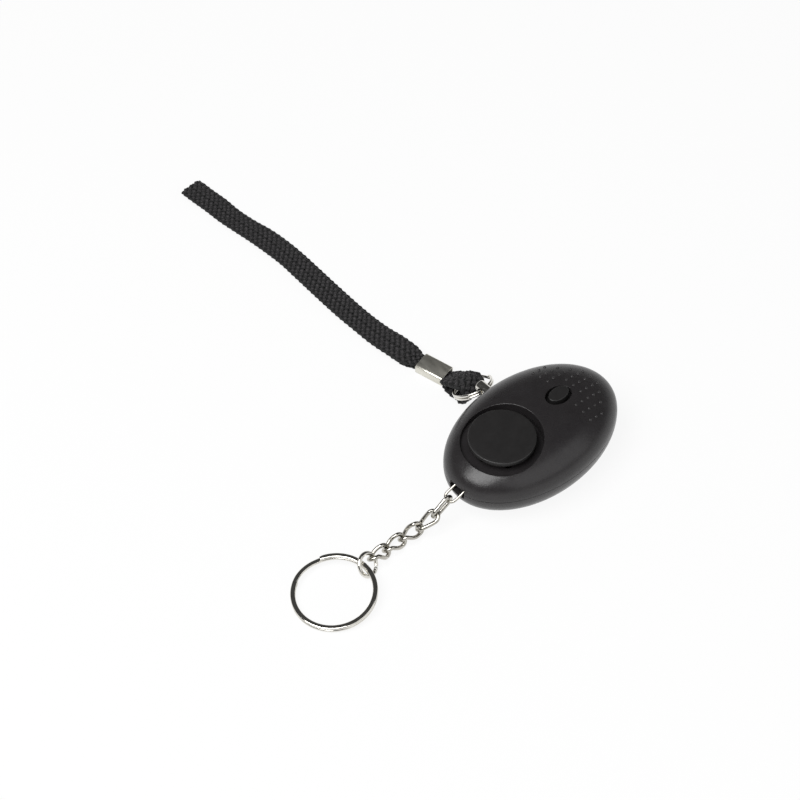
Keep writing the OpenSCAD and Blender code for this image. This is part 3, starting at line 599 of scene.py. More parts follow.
def make_crimp():
    near, middle, far = (STRAP_STATIONS[CRIMP_STATION + k] for k in (-1, 0, 1))
    layer = STRAP_THICKNESS * middle[4]
    low = middle[2] - layer / 2 - CRIMP_GAP - CRIMP_SHEET
    high = middle[3] + layer / 2 + CRIMP_GAP + CRIMP_SHEET
    turn = math.degrees(math.atan2(near[0] - far[0], far[1] - near[1]))

    def bent_face(inset, corner):
        """One face of the sheet, from one side of the seam round to the other."""
        width, height = CRIMP_SIZE[0] - 2 * inset, high - low - 2 * inset
        face = rounded_section(width, height, corner, CRIMP_CORNER_STEPS)
        right_corner = 3 * (CRIMP_CORNER_STEPS + 1)
        return np.vstack([face[right_corner:], face[:right_corner]])

    def section(inset):
        wall = CRIMP_SHEET - inset
        outer = bent_face(inset, CRIMP_CORNER - inset)
        inner = bent_face(wall, max(CRIMP_INNER_CORNER, CRIMP_CORNER - wall))
        bottom_out, bottom_in = -(high - low) / 2 + inset, -(high - low) / 2 + wall
        seam = CRIMP_SEAM / 2 + inset / 2
        outer = np.vstack([[(seam, bottom_out)], outer, [(-seam, bottom_out)]])
        inner = np.vstack([[(seam, bottom_in)], inner, [(-seam, bottom_in)]])
        return np.vstack([outer, inner[::-1]])

    length = CRIMP_SIZE[1]
    stations = [(-length / 2 + far_in, inset) for far_in, inset in CRIMP_END]
    stations += [(length / 2 - far_in, inset) for far_in, inset in reversed(CRIMP_END)]
    solid = Solid()
    loops = []
    for y, inset in stations:
        flat = section(inset)
        points = np.column_stack([flat[:, 0], np.full(len(flat), y), flat[:, 1] + (low + high) / 2])
        loops.append(turned(points, "z", turn) + np.array([middle[0], middle[1], 0]))
    solid.capped_loft(loops)
    return make_piece("strap_crimp", solid, crimp_look, "strap", 40)


crimp = make_crimp()


# Case shells
def dome_points(flat, half, rise):
    """Points of a dome from places on a flat disc whose radius runs with the angle from its top."""
    reach = np.minimum(np.hypot(flat[:, 0], flat[:, 1]), 1.0)
    around = np.arctan2(flat[:, 1], flat[:, 0])
    tilt = (1 - reach) * np.pi / 2
    spread = np.abs(np.cos(tilt)) ** (2 / POWER)
    height = np.abs(np.sin(tilt)) ** (2 / POWER)
    return np.column_stack([
        half[0] * spread * np.cos(around), half[1] * spread * np.sin(around), PARTING + rise * height
    ])


def dome_normals(points, half, rise):
    u, v = points[:, 0] / half[0], points[:, 1] / half[1]
    spread = np.maximum(np.hypot(u, v), 1e-6) ** (POWER - 2)
    height = np.clip((points[:, 2] - PARTING) / rise, 0, 1)
    normals = np.column_stack([spread * u / half[0], spread * v / half[1], height ** (POWER - 1) / rise])
    return normals / np.linalg.norm(normals, axis=1)[:, None]


def dome_height(x, y, half, rise):
    spread = np.minimum(np.hypot(np.asarray(x) / half[0], np.asarray(y) / half[1]), 1.0)
    return PARTING + rise * (1 - spread**POWER) ** (1 / POWER)


def flat_from_plan(points, half):
    u, v = points[:, 0] / half[0], points[:, 1] / half[1]
    spread = np.maximum(np.hypot(u, v), 1e-9)
    reach = 1 - np.arccos(np.clip(spread, 0, 1) ** (POWER / 2)) / (np.pi / 2)
    return np.column_stack([reach * u / spread, reach * v / spread])


# Points round each arch of a shell's edge, and along the edge between arches
ARCH_POINTS = 15
EDGE_POINTS = (72, 72, 150)


def edge_of_shell(half, rise, level, grow):
    """Edge of a shell at a height off the parting line, as flat places.

    It has the notches for the lamp, the pin and the bail, each larger by grow.
    """
    rise = abs(rise)

    def share_at(z):
        return (1 - (z / rise) ** POWER) ** (1 / POWER)

    def arch(radius):
        first = math.asin(min(1, level / radius))
        turn = np.linspace(first, np.pi - first, ARCH_POINTS)
        return np.column_stack([radius * np.cos(turn), np.maximum(radius * np.sin(turn), level)])

    def box_arch(half_width, top):
        flat, foot = half_width - NOTCH_CORNER, top - NOTCH_CORNER
        right = [(half_width, z) for z in np.linspace(level, foot, 4)]
        for a in np.radians((22.5, 45, 67.5, 90)):
            right.append((flat + NOTCH_CORNER * math.cos(a), foot + NOTCH_CORNER * math.sin(a)))
        across = [(x, top) for x in np.linspace(flat, -flat, 9)[1:-1]]
        return np.array(right + across + [(-x, z) for x, z in reversed(right)])

    lamp = arch(LAMP_HOLE_R + grow)
    pin = arch(PIN_HOLE_R + grow)
    bail = box_arch(NOTCH_HALF + grow, NOTCH_RISE + grow)
    lamp_v = -lamp[:, 0] / half[1]
    lamp_turn = np.arctan2(lamp_v, np.sqrt(share_at(lamp[:, 1]) ** 2 - lamp_v**2))
    pin_u = (PIN_X + pin[:, 0]) / half[0]
    pin_turn = np.arctan2(np.sqrt(share_at(pin[:, 1]) ** 2 - pin_u**2), pin_u)
    bail_v = bail[:, 0] / half[1]
    bail_turn = np.arctan2(bail_v, -np.sqrt(share_at(bail[:, 1]) ** 2 - bail_v**2)) % (2 * np.pi)
    around, levels = [], []

    def follow(turn, z):
        around.extend(turn)
        levels.extend(z)

    def run(start, end, count):
        follow(np.linspace(start, end, count + 2)[1:-1], np.full(count, level))

    follow(lamp_turn, lamp[:, 1])
    run(lamp_turn[-1], pin_turn[0], EDGE_POINTS[0])
    follow(pin_turn, pin[:, 1])
    run(pin_turn[-1], bail_turn[0], EDGE_POINTS[1])
    follow(bail_turn, bail[:, 1])
    run(bail_turn[-1], lamp_turn[0] + 2 * np.pi, EDGE_POINTS[2])
    around, levels = np.array(around), np.array(levels)
    reach = 1 - np.arcsin((levels / rise) ** (POWER / 2)) / (np.pi / 2)
    return np.column_stack([reach * np.cos(around), reach * np.sin(around)])


def inside(points, loop):
    x, y = points[:, 0][:, None], points[:, 1][:, None]
    x0, y0 = loop[:, 0], loop[:, 1]
    x1, y1 = np.roll(x0, -1), np.roll(y0, -1)
    crosses = (y0 > y) != (y1 > y)
    gap = np.where(y1 == y0, 1.0, y1 - y0)
    return ((crosses & (x < x0 + (y - y0) * (x1 - x0) / gap)).sum(axis=1) % 2) == 1


def triangulate(loops, extra):
    """Triangles inside the first loop and outside the others.

    Gives back places, triangles and the indices of each loop.
    """
    places = np.vstack(loops + [extra]) if len(extra) else np.vstack(loops)
    edges, starts, first = [], [], 0
    for loop in loops:
        n = len(loop)
        edges.extend((first + i, first + (i + 1) % n) for i in range(n))
        starts.append(range(first, first + n))
        first += n
    corners = [Vector((float(a), float(b))) for a, b in places]
    made = delaunay_2d_cdt(corners, edges, [], 0, 1e-9, True)
    out = np.array([tuple(p) for p in made[0]])
    new_of = {}
    for j, origins in enumerate(made[3]):
        for o in origins:
            new_of[o] = j
    triangles = np.array([tuple(f) for f in made[2]])
    middle = out[triangles].mean(axis=1)
    keep = inside(middle, loops[0])
    for loop in loops[1:]:
        keep &= ~inside(middle, loop)
    return out, triangles[keep], [[new_of[i] for i in span] for span in starts]


# Points of a ring for each unit of its length, and room round an edge, as shares of the rings' spacing
RING_SHARE = 0.8
EDGE_ROOM = 0.55
FOOT_ROOM = 0.6


def disc_grid(loops, rings):
    """Places in even rings on the flat disc, clear of the loops."""
    rows = [np.zeros((1, 2))]
    for i in range(1, rings):
        count = max(6, round(2 * np.pi * i * RING_SHARE))
        turn = (np.arange(count) + 0.5 * (i % 2)) * 2 * np.pi / count
        rows.append(i / rings * np.column_stack([np.cos(turn), np.sin(turn)]))
    places = np.vstack(rows)
    keep = inside(places, loops[0])
    for loop in loops[1:]:
        keep &= ~inside(places, loop)
    for loop in loops:
        off = places[:, None, :] - loop[None, :, :]
        keep &= np.hypot(off[:, :, 0], off[:, :, 1]).min(axis=1) > EDGE_ROOM / rings
    return places[keep]


def dome_sheet(solid, half, rise, edge, holes, rings, shaded, foot=None, base=None):
    """Adds one side of a shell and gives back the indices of its edge and holes.

    foot is the ring of flat places where the dome meets a level base.
    """
    loops = [edge] + holes
    extra = disc_grid(loops, rings)
    if foot is not None:
        off_foot = np.abs(np.hypot(extra[:, 0], extra[:, 1]) - np.hypot(*foot[0]))
        extra = np.vstack([extra[off_foot > FOOT_ROOM / rings], foot])
    places, triangles, rows = triangulate(loops, extra)
    points = dome_points(places, half, rise)
    normals = dome_normals(points, half, rise)
    if base is not None:
        points[:, 2] = np.maximum(points[:, 2], base)
    first = solid.add(points)[0]
    known = {first + i: normals[i] for i in range(len(points))}
    for a, b, c in triangles:
        flat_face = base is not None and max(points[a][2], points[b][2], points[c][2]) < base + 1e-4
        if shaded and not flat_face:
            solid.normals[len(solid.faces)] = known
        solid.faces.append((first + int(a), first + int(b), first + int(c)))
    return [[first + i for i in row] for row in rows]


def plan_sheet(solid, z, loops):
    """Adds a level face with holes and gives back the indices of its loops."""
    places, triangles, rows = triangulate([np.asarray(loop)[:, :2] for loop in loops], np.zeros((0, 2)))
    first = solid.add(np.column_stack([places, np.full(len(places), z)]))[0]
    solid.faces.extend(tuple(first + int(i) for i in t) for t in triangles)
    return [[first + i for i in row] for row in rows]


def shell_rim(solid, rise, outer_row, inner_row):
    """Joins the outer and inner edges of a shell over its small bevel and the parting face."""
    half = (OUTER[0] - PARTING_BEVEL, OUTER[1] - PARTING_BEVEL)
    middle = solid.add(dome_points(edge_of_shell(half, rise, 0.0, 0.0), half, rise))
    solid.strip(outer_row, middle)
    solid.strip(middle, inner_row)


def notch_liner(solid, up):
    """Half of the small box behind the bail's notch."""
    front, back = NOTCH_FRONT, NOTCH_BACK + NOTCH_WALL
    low, roof = PARTING, PARTING + up * NOTCH_RISE
    top = roof + up * NOTCH_WALL
    wide = NOTCH_HALF + NOTCH_WALL
    plan = ((front, -wide), (back, -wide), (back, wide), (front, wide), (front, NOTCH_HALF),
            (NOTCH_BACK, NOTCH_HALF), (NOTCH_BACK, -NOTCH_HALF), (front, -NOTCH_HALF))
    lower = solid.add([(x, y, low) for x, y in plan])
    middle = solid.add([(x, y, roof) for x, y in plan])
    upper = solid.add([(x, y, top) for x, y in plan[:4]])
    solid.strip(lower, middle)
    solid.cap(lower)
    solid.cap([middle[4], middle[5], middle[6], middle[7]])
    solid.cap(upper)
    for i in range(3):
        solid.cap([middle[i], middle[i + 1], upper[i + 1], upper[i]])
    solid.cap([middle[3], middle[4], middle[7], middle[0], upper[0], upper[3]])


# Grip dots: parts of a ball, in rows along the case
DOT_R = 0.5
DOT_RISE = 0.36
DOT_BALL = (DOT_R**2 + DOT_RISE**2) / (2 * DOT_RISE)
DOT_POINTS = 14
DOT_POLARS = (88, 70, 52, 34, 16)
DOT_START = 12
DOT_PITCH = (2.4, 2.95)
DOT_COUNT = (6, 9)
DOT_ROOM = (1.3, 1.6)
DOT_FIELD = 0.84


def grip_dot(solid, x, y):
    at = np.array([[x, y, float(dome_height(x, y, OUTER, CROWN))]])
    normal = dome_normals(at, OUTER, CROWN)[0]
    side = unit(np.cross([0, 1, 0], normal))
    ahead = np.cross(normal, side)
    centre = at[0] - (DOT_BALL - DOT_RISE) * normal
    turn = turns(DOT_POINTS)
    ring = np.outer(np.cos(turn), side) + np.outer(np.sin(turn), ahead)
    loops = []
    for polar in np.radians(DOT_POLARS):
        loops.append(centre + DOT_BALL * (math.sin(polar) * ring + math.cos(polar) * normal))
    rows = solid.loft(loops)
    solid.cap(rows[0])
    top = solid.add([centre + DOT_BALL * normal])[0]
    for i in range(DOT_POINTS):
        solid.faces.append((rows[-1][i], rows[-1][(i + 1) % DOT_POINTS], top))


def grip_dots(solid):
    for j in range(DOT_COUNT[1]):
        for i in range(DOT_COUNT[0]):
            x, y = DOT_START + DOT_PITCH[0] * i, DOT_PITCH[1] * (j - DOT_COUNT[1] // 2)
            beyond = x > BUTTON_X + BUTTON_HALF[0] + DOT_ROOM[0]
            beside = abs(y) > BUTTON_HALF[1] + DOT_ROOM[1]
            if (beyond or beside) and math.hypot(x / OUTER[0], y / OUTER[1]) < DOT_FIELD:
                grip_dot(solid, x, y)


def fillet_loops(make, radius, steps=5):
    """Loops that round an edge over, from the dome to a wall.

    make(grow) gives the points of the edge on the dome, with the hole larger by grow.
    """
    start, corner = make(radius), make(0.0)
    end = corner - np.array([0, 0, radius])
    loops = []
    for t in np.linspace(0, 1, steps + 1)[1:]:
        loops.append((1 - t) ** 2 * start + 2 * t * (1 - t) * corner + t**2 * end)
    return loops


def make_top_shell():
    solid = Solid()
    rise_in = CROWN - WALL

    def recess(grow):
        plan = circle(RECESS_R + grow, (SIREN_X, 0), 0, RECESS_POINTS)
        plan[:, 2] = dome_height(plan[:, 0], plan[:, 1], OUTER, CROWN)
        return plan

    def button(grow, half=OUTER, rise=CROWN):
        hole = (BUTTON_HALF[0] + BUTTON_GAP + grow, BUTTON_HALF[1] + BUTTON_GAP + grow)
        plan = oval(hole, (BUTTON_X, 0), 0, BUTTON_POINTS)
        plan[:, 2] = dome_height(plan[:, 0], plan[:, 1], half, rise)
        return plan

    rims = [recess(RECESS_FILLET), button(BUTTON_RIM_FILLET)]
    edge, recess_row, button_row = dome_sheet(
        solid, OUTER, CROWN, edge_of_shell(OUTER, CROWN, PARTING_BEVEL, PARTING_BEVEL),
        [flat_from_plan(rim, OUTER) for rim in rims], SHEET_RINGS, True)
    cup = circle(CUP_R, (SIREN_X, 0), 0, RECESS_POINTS)
    rims_in = [cup, button(0.0, INNER, rise_in)]
    edge_in, cup_row, button_in = dome_sheet(
        solid, INNER, rise_in, edge_of_shell(INNER, rise_in, 0.0, 0.0),
        [flat_from_plan(rim, INNER) for rim in rims_in], INNER_RINGS, False)
    shell_rim(solid, CROWN, edge, edge_in)
    # Recess: rounded rim, wall, floor with its holes, and the cup's underside
    wall_rows = solid.loft(fillet_loops(recess, RECESS_FILLET))
    solid.strip(recess_row, wall_rows[0])
    holes = [circle(SPIGOT_R + SPIGOT_GAP, (SIREN_X, 0), 0, 48)]
    for a in turns(SOUND_HOLES):
        at = (SIREN_X + SOUND_HOLE_RING * math.cos(a), SOUND_HOLE_RING * math.sin(a))
        holes.append(circle(SOUND_HOLE_R, at, 0, 32))
    floor_rows = plan_sheet(solid, RECESS_FLOOR, [circle(RECESS_R, (SIREN_X, 0), 0, RECESS_POINTS)] + holes)
    under_rows = plan_sheet(solid, CUP_UNDERSIDE, [cup] + holes)
    solid.strip(wall_rows[-1], floor_rows[0])
    for a, b in zip(floor_rows[1:], under_rows[1:]):
        solid.strip(a, b)
    solid.strip(under_rows[0], cup_row)
    # Button hole
    button_rows = solid.loft(fillet_loops(button, BUTTON_RIM_FILLET))
    solid.strip(button_row, button_rows[0])
    solid.strip(button_rows[-1], button_in)
    notch_liner(solid, 1)
    grip_dots(solid)
    make_piece("top_shell", solid, case_look, "case")


def make_bottom_shell():
    solid = Solid()
    rise_in = KEEL + WALL

    def bore(radius, at, half, rise):
        plan = circle(radius, at, 0, BORE_POINTS)
        plan[:, 2] = dome_height(plan[:, 0], plan[:, 1], half, rise)
        return plan

    flat_share = (1 - (PARTING / -KEEL) ** POWER) ** (1 / POWER)
    foot = flat_from_plan(oval((flat_share * OUTER[0], flat_share * OUTER[1]), (0, 0), 0, 120), OUTER)
    bores = [bore(HEAD_HOLE_R + HEAD_HOLE_BEVEL, at, OUTER, KEEL) for at in SCREW_AT]
    rows = dome_sheet(
        solid, OUTER, KEEL, edge_of_shell(OUTER, KEEL, PARTING_BEVEL, PARTING_BEVEL),
        [flat_from_plan(rim, OUTER) for rim in bores], SHEET_RINGS, True, foot, 0.0)
    bosses = [bore(BOSS_R, at, INNER, rise_in) for at in SCREW_AT]
    rows_in = dome_sheet(
        solid, INNER, rise_in, edge_of_shell(INNER, rise_in, 0.0, 0.0),
        [flat_from_plan(rim, INNER) for rim in bosses], INNER_RINGS, False)
    shell_rim(solid, KEEL, rows[0], rows_in[0])
    for at, hole, boss in zip(SCREW_AT, rows[1:], rows_in[1:]):
        loops = [bore(HEAD_HOLE_R, at, OUTER, KEEL) + np.array([0, 0, HEAD_HOLE_BEVEL])]
        loops += [circle(radius, at, HEAD_SEAT, BORE_POINTS) for radius in (HEAD_HOLE_R, SCREW_HOLE_R)]
        loops += [circle(radius, at, BOSS_TOP, BORE_POINTS) for radius in (SCREW_HOLE_R, BOSS_R)]
        made = solid.loft(loops)
        solid.strip(hole, made[0])
        solid.strip(made[-1], boss)
    notch_liner(solid, -1)
    post_ends = (PARTING - NOTCH_RISE - POST_ROOT, PARTING + NOTCH_RISE - POST_GAP)
    solid.capped_loft([circle(POST_R, (POST_X, 0), z, 32) for z in post_ends])
    make_piece("bottom_shell", solid, case_look, "case")


make_top_shell()
make_bottom_shell()


# Turned pieces
def lathe(solid, profile, centre, axis, count):
    """Spins (radius, distance) pairs round an axis through a point and closes both ends."""
    loops = []
    for radius, far in profile:
        ring = circle(radius, (0, 0), far, count)
        if axis == "y":
            ring = ring[:, [0, 2, 1]]
        loops.append(ring + np.asarray(centre))
    solid.capped_loft(loops)


def round_corner(radius, far, fillet, steps):
    """Points of a rounded outer corner of a profile, from the side to the end face."""
    points = []
    for k in range(steps + 1):
        a = math.radians(90 * k / steps)
        points.append((radius - fillet + fillet * math.cos(a), far - fillet + fillet * math.sin(a)))
    return points


def make_siren_cap():
    solid = Solid()
    under = CAP_TOP - CAP_PLATE
    profile = [(SPIGOT_R, CUP_UNDERSIDE), (SPIGOT_R, RECESS_FLOOR), (STEM_R, RECESS_FLOOR)]
    profile += [(STEM_R, under - STEM_BEVEL), (STEM_R + STEM_BEVEL, under)]
    profile += [(CAP_R - CAP_BEVEL, under), (CAP_R, under + CAP_BEVEL)]
    profile += round_corner(CAP_R, CAP_TOP, CAP_FILLET, 4)
    profile += [(radius, CAP_TOP) for radius in CAP_TOP_RINGS]
    lathe(solid, profile, (SIREN_X, 0, 0), "z", RECESS_POINTS)
    make_piece("siren_cap", solid, cap_look, "case")


def make_button():
    top = float(dome_height(BUTTON_X, 0, OUTER, CROWN)) + BUTTON_PROUD
    solid = Solid()
    rows = [(BUTTON_FLANGE, BUTTON_FLANGE_Z), (BUTTON_FLANGE, BUTTON_FLANGE_TOP)]
    rows += [(BUTTON_HALF, BUTTON_FLANGE_TOP)]
    for grow, z in round_corner(0.0, top - BUTTON_DOME[0][1], BUTTON_FILLET, 6):
        rows.append(((BUTTON_HALF[0] + grow, BUTTON_HALF[1] + grow), z))
    for inset, below in BUTTON_DOME[1:]:
        rows.append(((BUTTON_HALF[0] - inset, BUTTON_HALF[1] - inset), top - below))
    solid.capped_loft([oval(half, (BUTTON_X, 0), z, BUTTON_POINTS) for half, z in rows])
    make_piece("light_button", solid, cap_look, "button")


# Pull pin: shank, head and the ring's hole through it
PIN_TIP = 9.55
PIN_TIP_RINGS = (0.6, 1.0)
PIN_SHANK_R = 1.5
PIN_NECK = 19.75
PIN_HEAD_R = 1.8
PIN_HEAD_BEVEL = 0.1
PIN_HEAD_FILLET = 0.5
PIN_END = 24.05
PIN_END_RING = 0.5
RING_HOLE_Y = 21.6
# Radius of the hole at distances from the pin's middle, with flared mouths
RING_HOLE = ((1.35, -1.9), (1.2, -1.62), (1.2, 1.62), (1.35, 1.9))
RING_HOLE_POINTS = 48


def make_pin():
    solid = Solid()
    blunt = PIN_SHANK_R - PIN_TIP_RINGS[1]
    profile = [(radius, PIN_TIP) for radius in PIN_TIP_RINGS]
    profile += [(PIN_SHANK_R, PIN_TIP + blunt), (PIN_SHANK_R, PIN_NECK)]
    profile += [(PIN_HEAD_R - PIN_HEAD_BEVEL, PIN_NECK), (PIN_HEAD_R, PIN_NECK + PIN_HEAD_BEVEL)]
    profile += round_corner(PIN_HEAD_R, PIN_END, PIN_HEAD_FILLET, 6)
    profile += [(PIN_END_RING, PIN_END)]
    lathe(solid, profile, (PIN_X, 0, PARTING), "y", 64)
    pin = make_piece("pull_pin", solid, nickel_look, "pin")
    drill = Solid()
    loops = []
    for radius, x in RING_HOLE:
        ring = circle(radius, (RING_HOLE_Y, PARTING), PIN_X + x, RING_HOLE_POINTS)
        loops.append(ring[:, [2, 0, 1]])
    drill.capped_loft(loops)
    cutter = bpy.data.objects.new("drill", mesh_of("drill", drill))
    bpy.context.collection.objects.link(cutter)
    cut = pin.modifiers.new("ring_hole", "BOOLEAN")
    cut.operation = "DIFFERENCE"
    cut.solver = "EXACT"
    cut.object = cutter
    shaped = bpy.data.meshes.new_from_object(pin.evaluated_get(bpy.context.evaluated_depsgraph_get()))
    pin.modifiers.remove(cut)
    pin.data = shaped
    bpy.data.objects.remove(cutter)
    shaped.shade_smooth()
    shaped.set_sharp_from_angle(angle=math.radians(30))


make_siren_cap()
make_button()
make_pin()


# Split rings: the wire climbs to its second turn over an arc, and ends before it
CLIMB = (318, 356)
SECOND_TURN_END = 672
TURN_STEP = 3.0
TURN_GAP = 0.06
# Corner of the wire's section as a share of its thinner side
TURN_CORNER = 0.47
# Shares of the section at the last two stations of each end
TURN_TAPER = (0.78, 0.94)


def split_ring(name, diameter, band, turn, place, body):
    radius = (diameter - band) / 2
    angles = np.arange(0, SECOND_TURN_END + TURN_STEP / 2, TURN_STEP)
    t = np.clip((angles - CLIMB[0]) / (CLIMB[1] - CLIMB[0]), 0, 1)
    a = np.radians(angles)
    line = np.column_stack([radius * np.cos(a), radius * np.sin(a), (t - 0.5) * (turn + TURN_GAP)])
    outward = np.column_stack([np.cos(a), np.sin(a), np.zeros(len(a))])
    section = rounded_section(band, turn, min(band, turn) * TURN_CORNER, 6)
    sections = [section] * len(a)
    for k, size in enumerate(TURN_TAPER):
        sections[k] = sections[-1 - k] = section * size
    solid = Solid()
    sweep(solid, line, outward, sections, False)
    solid.points = [tuple(p) for p in place(np.array(solid.points))]
    make_piece(name, solid, nickel_look, body, 50)


PIN_RING_D = 13.0
PIN_RING_WIRE = 0.8
PIN_RING_DROOP = 35
PIN_RING_TURN = 40
# How far the wire sits off the middle of the pin's hole, away from the ring's centre
PIN_RING_SEAT = 0.16


def place_pin_ring(points):
    reach = (PIN_RING_D - PIN_RING_WIRE) / 2 - PIN_RING_SEAT
    droop = math.radians(PIN_RING_DROOP)
    centre = np.array([PIN_X, RING_HOLE_Y + reach * math.cos(droop), PARTING - reach * math.sin(droop)])
    return turned(turned(points, "z", PIN_RING_TURN), "x", -PIN_RING_DROOP) + centre


split_ring("pin_ring", PIN_RING_D, PIN_RING_WIRE, PIN_RING_WIRE, place_pin_ring, "ring")


# Chain: 0 is the bail, 1 to 5 the links, 6 the jump ring and 7 the key ring
BAIL_WIRE = 0.9
BAIL_RADIUS = 1.85
BAIL_BACK = 1.75
BAIL_REACH = 6.4
LINK_WIRE = 1.25
LINK_RADIUS = 1.8
LINK_REACH = 7.5
JUMP_RADIUS = 3.325
KEY_RING_D = 25.0
KEY_BAND = 1.5
KEY_TURN = 0.9
KEY_ROOM = 0.5
KEY_RING_TURN = 120
WIRE_CLEARANCE = 0.3
YAW = (6, 2.5, 15.5, 10.5, 1, -3, -18, 3.5)
PITCH = (-25.5, -34, -31, -11.5, 0, 14.5, 2, -6.5)
ROLL_START = (0, 95, 10, 55, 45, 45, 53, 0)
ROLL_END = (0, 97, -30, -45, -45, -45, 53, 0)
# Thickness of each piece where the next one hooks on, and its length between those places
HOOK = (BAIL_WIRE, *[LINK_WIRE] * 6, 2 * KEY_TURN + TURN_GAP + KEY_ROOM)
REACH = (BAIL_BACK + BAIL_REACH, *[LINK_REACH] * 5, 2 * JUMP_RADIUS, KEY_RING_D - KEY_BAND)
BEND_POINTS = 25
STRAIGHT_POINTS = 15


def heading(i):
    yaw, pitch = math.radians(YAW[i]), math.radians(PITCH[i])
    return np.array([-math.cos(pitch) * math.cos(yaw), math.cos(pitch) * math.sin(yaw), math.sin(pitch)])


def level_side(i):
    yaw = math.radians(YAW[i])
    return np.array([math.sin(yaw), math.cos(yaw), 0])


def start_apex(i):
    if i == 0:
        return np.array([POST_X, 0, PARTING]) - BAIL_BACK * heading(0)
    gap = (HOOK[i - 1] + HOOK[i]) / 4 + WIRE_CLEARANCE / 2
    return end_apex(i - 1) - gap * (heading(i - 1) + heading(i))


def end_apex(i):
    return start_apex(i) + REACH[i] * heading(i)


def make_link(i, name, body, radius):
    """Wire link with round ends, twisted along its length."""
    reach = REACH[i]
    straight = reach - 2 * radius
    bend = np.linspace(-np.pi / 2, np.pi / 2, BEND_POINTS)
    share = np.linspace(0, 1, STRAIGHT_POINTS + 2)[1:-1]
    run = np.full(STRAIGHT_POINTS, radius)
    s = np.concatenate([reach - radius + radius * np.cos(bend), reach - radius - share * straight,
                        radius - radius * np.cos(bend), radius + share * straight])
    w = np.concatenate([radius * np.sin(bend), run, -radius * np.sin(bend), -run])
    twist = np.clip((s - radius) / straight, 0, 1)
    roll = np.radians(ROLL_START[i] + twist * (ROLL_END[i] - ROLL_START[i]))
    side, up = level_side(i), np.cross(level_side(i), heading(i))
    off = np.outer(np.cos(roll), side) + np.outer(np.sin(roll), up)
    line = start_apex(i) + np.outer(s, heading(i)) + w[:, None] * off
    square = np.outer(np.cos(roll), up) - np.outer(np.sin(roll), side)
    solid = Solid()
    sweep(solid, line, square, [round_section(HOOK[i])] * len(line), True)
    make_piece(name, solid, chain_look, body, 60)


make_link(0, "chain_bail", "bail", BAIL_RADIUS)
for number in range(1, 6):
    make_link(number, f"chain_link_{number}", f"link_{number}", LINK_RADIUS)


# Its cut: angle in degrees and width; then the wire's points and the size of its section at the ends
JUMP_CUT_AT = 235
JUMP_CUT = 0.24
JUMP_POINTS = 97
JUMP_END = 0.9


def make_jump_ring():
    """Open round ring: its wire's two ends meet at a small cut."""
    centre = (start_apex(6) + end_apex(6)) / 2
    roll = math.radians(ROLL_START[6])
    side, up = level_side(6), np.cross(level_side(6), heading(6))
    across = math.cos(roll) * side + math.sin(roll) * up
    normal = math.cos(roll) * up - math.sin(roll) * side
    half_cut = JUMP_CUT / 2 / JUMP_RADIUS
    a = math.radians(JUMP_CUT_AT) + np.linspace(half_cut, 2 * np.pi - half_cut, JUMP_POINTS)
    out = np.outer(np.cos(a), heading(6)) + np.outer(np.sin(a), across)
    section = round_section(LINK_WIRE)
    sections = [section] * len(a)
    sections[0] = sections[-1] = section * JUMP_END
    solid = Solid()
    sweep(solid, centre + JUMP_RADIUS * out, np.tile(normal, (len(a), 1)), sections, False)
    make_piece("jump_ring", solid, nickel_look, "jump", 50)


make_jump_ring()


def place_key_ring(points):
    centre = (start_apex(7) + end_apex(7)) / 2
    return turned(turned(turned(points, "z", KEY_RING_TURN), "y", PITCH[7]), "z", -YAW[7]) + centre


split_ring("key_ring", KEY_RING_D, KEY_BAND, KEY_TURN, place_key_ring, "key")


# CAD pieces that keep their shape
INNER_SLOTS = {
    "black_plastic": ("sounder_ring", "driver_chip", "switch_body"),
    "pale_plastic": ("switch_plunger", "pin_socket"),
    "brass": ("piezo_plate", "contact_leaf", "contact_stop"),
    "ceramic": ("piezo_ceramic",),
    "board": ("circuit_board",),
    "ferrite": ("boost_coil",),
    "copper": ("coil_winding",),
    "lamp": ("torch_lamp",),
    "steel": ("cell_1", "cell_2", "cell_3", "contact_plus", "contact_minus", "case_screws"),
}
for look, names in INNER_SLOTS.items():
    for name in names:
        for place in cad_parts[name].material_slots:
            place.material = inner_looks[look]


# Stage and light
# Brightness of the surroundings at the horizon and overhead, where white is 1
HORIZON = 0.62
OVERHEAD = 0.06
# Heights of a unit direction between which the one fades to the other
SKY_FADE = (0.12, 0.26)
# Distances in metres over which the floor fades to the horizon
FLOOR_FADE = (0.3, 1.0)
FLOOR_HALF = 3.0
FLOOR_DROP = 0.00005
# Share of its plain white in what is seen of the floor; the rest is lit, and keeps the shadow
FLOOR_GLOW = 0.9


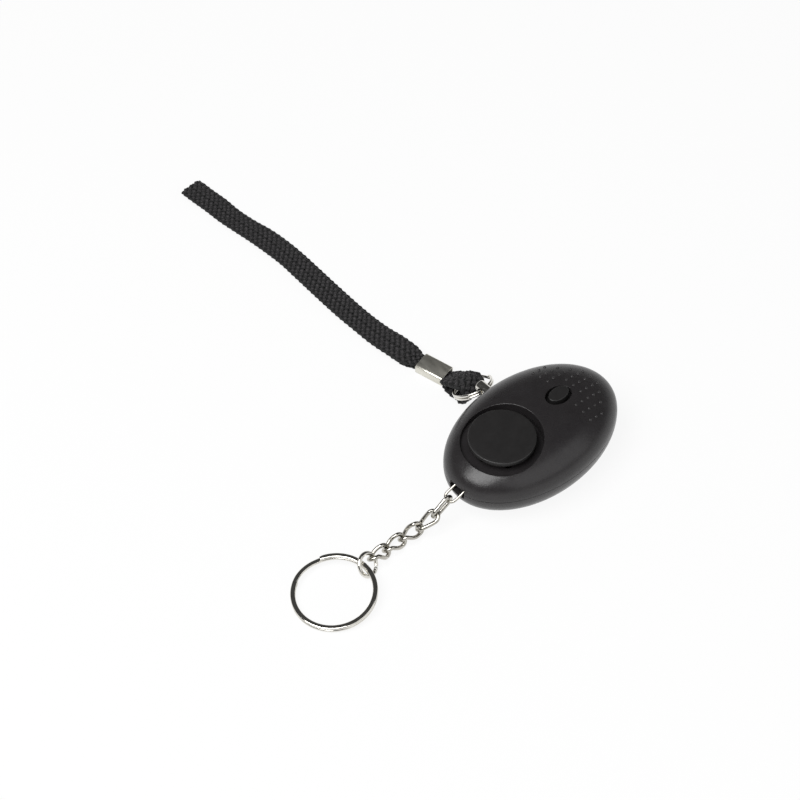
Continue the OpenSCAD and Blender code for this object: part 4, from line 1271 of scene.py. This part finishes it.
def make_floor():
    mesh = bpy.data.meshes.new("floor")
    corners = [(FLOOR_HALF * x, FLOOR_HALF * y, 0) for x, y in ((-1, -1), (1, -1), (1, 1), (-1, 1))]
    mesh.from_pydata(corners, [], [(0, 1, 2, 3)])
    floor = bpy.data.objects.new("floor", mesh)
    floor.location = (0, 0, -FLOOR_DROP)
    bpy.context.collection.objects.link(floor)
    material, tree, shader = new_material("floor")
    set_inputs(shader, Base_Color=(0.86, 0.86, 0.86, 1), Roughness=0.9, Specular_IOR_Level=0.1)
    glow = tree.nodes.new("ShaderNodeEmission")
    reach = tree.nodes.new("ShaderNodeVectorMath")
    reach.operation = "LENGTH"
    tree.links.new(tree.nodes.new("ShaderNodeTexCoord").outputs["Object"], reach.inputs[0])
    tree.links.new(remap(tree, reach.outputs["Value"], 1.0, HORIZON, *FLOOR_FADE), glow.inputs["Strength"])
    paths = tree.nodes.new("ShaderNodeLightPath").outputs
    seen = calc(tree, "MAXIMUM", paths["Is Camera Ray"], paths["Is Glossy Ray"])
    seen = calc(tree, "MAXIMUM", seen, paths["Is Transmission Ray"])
    mixer = tree.nodes.new("ShaderNodeMixShader")
    tree.links.new(calc(tree, "MULTIPLY", seen, FLOOR_GLOW), mixer.inputs[0])
    tree.links.new(shader.outputs[0], mixer.inputs[1])
    tree.links.new(glow.outputs[0], mixer.inputs[2])
    tree.links.new(mixer.outputs[0], tree.nodes["Material Output"].inputs["Surface"])
    mesh.materials.append(material)


def make_world():
    """Pale near the horizon and dim overhead."""
    world = bpy.data.worlds.new("studio")
    bpy.context.scene.world = world
    world.use_nodes = True
    tree = world.node_tree
    back = tree.nodes["Background"]
    back.inputs["Color"].default_value = (1, 1, 1, 1)
    direction = tree.nodes.new("ShaderNodeSeparateXYZ")
    tree.links.new(tree.nodes.new("ShaderNodeTexCoord").outputs["Generated"], direction.inputs[0])
    strength = remap(tree, direction.outputs["Z"], HORIZON, OVERHEAD, *SKY_FADE)
    tree.links.new(strength, back.inputs["Strength"])


LAMP_AIM = (0, 0.03, 0)


def make_lamp(name, place, size, power):
    data = bpy.data.lights.new(name, "AREA")
    data.shape = "RECTANGLE"
    data.size, data.size_y = size
    data.energy = power
    lamp = bpy.data.objects.new(name, data)
    lamp.location = place
    direction = Vector(place) - Vector(LAMP_AIM)
    lamp.rotation_euler = direction.to_track_quat("Z", "Y").to_euler()
    bpy.context.collection.objects.link(lamp)


make_floor()
make_world()
make_lamp("key_light", (-0.475, 0.03, 0.823), (0.65, 0.65), 9.5)
make_lamp("front_light", (0.13, -0.69, 0.61), (1.2, 0.8), 3)
bpy.context.scene.view_settings.view_transform = "Standard"
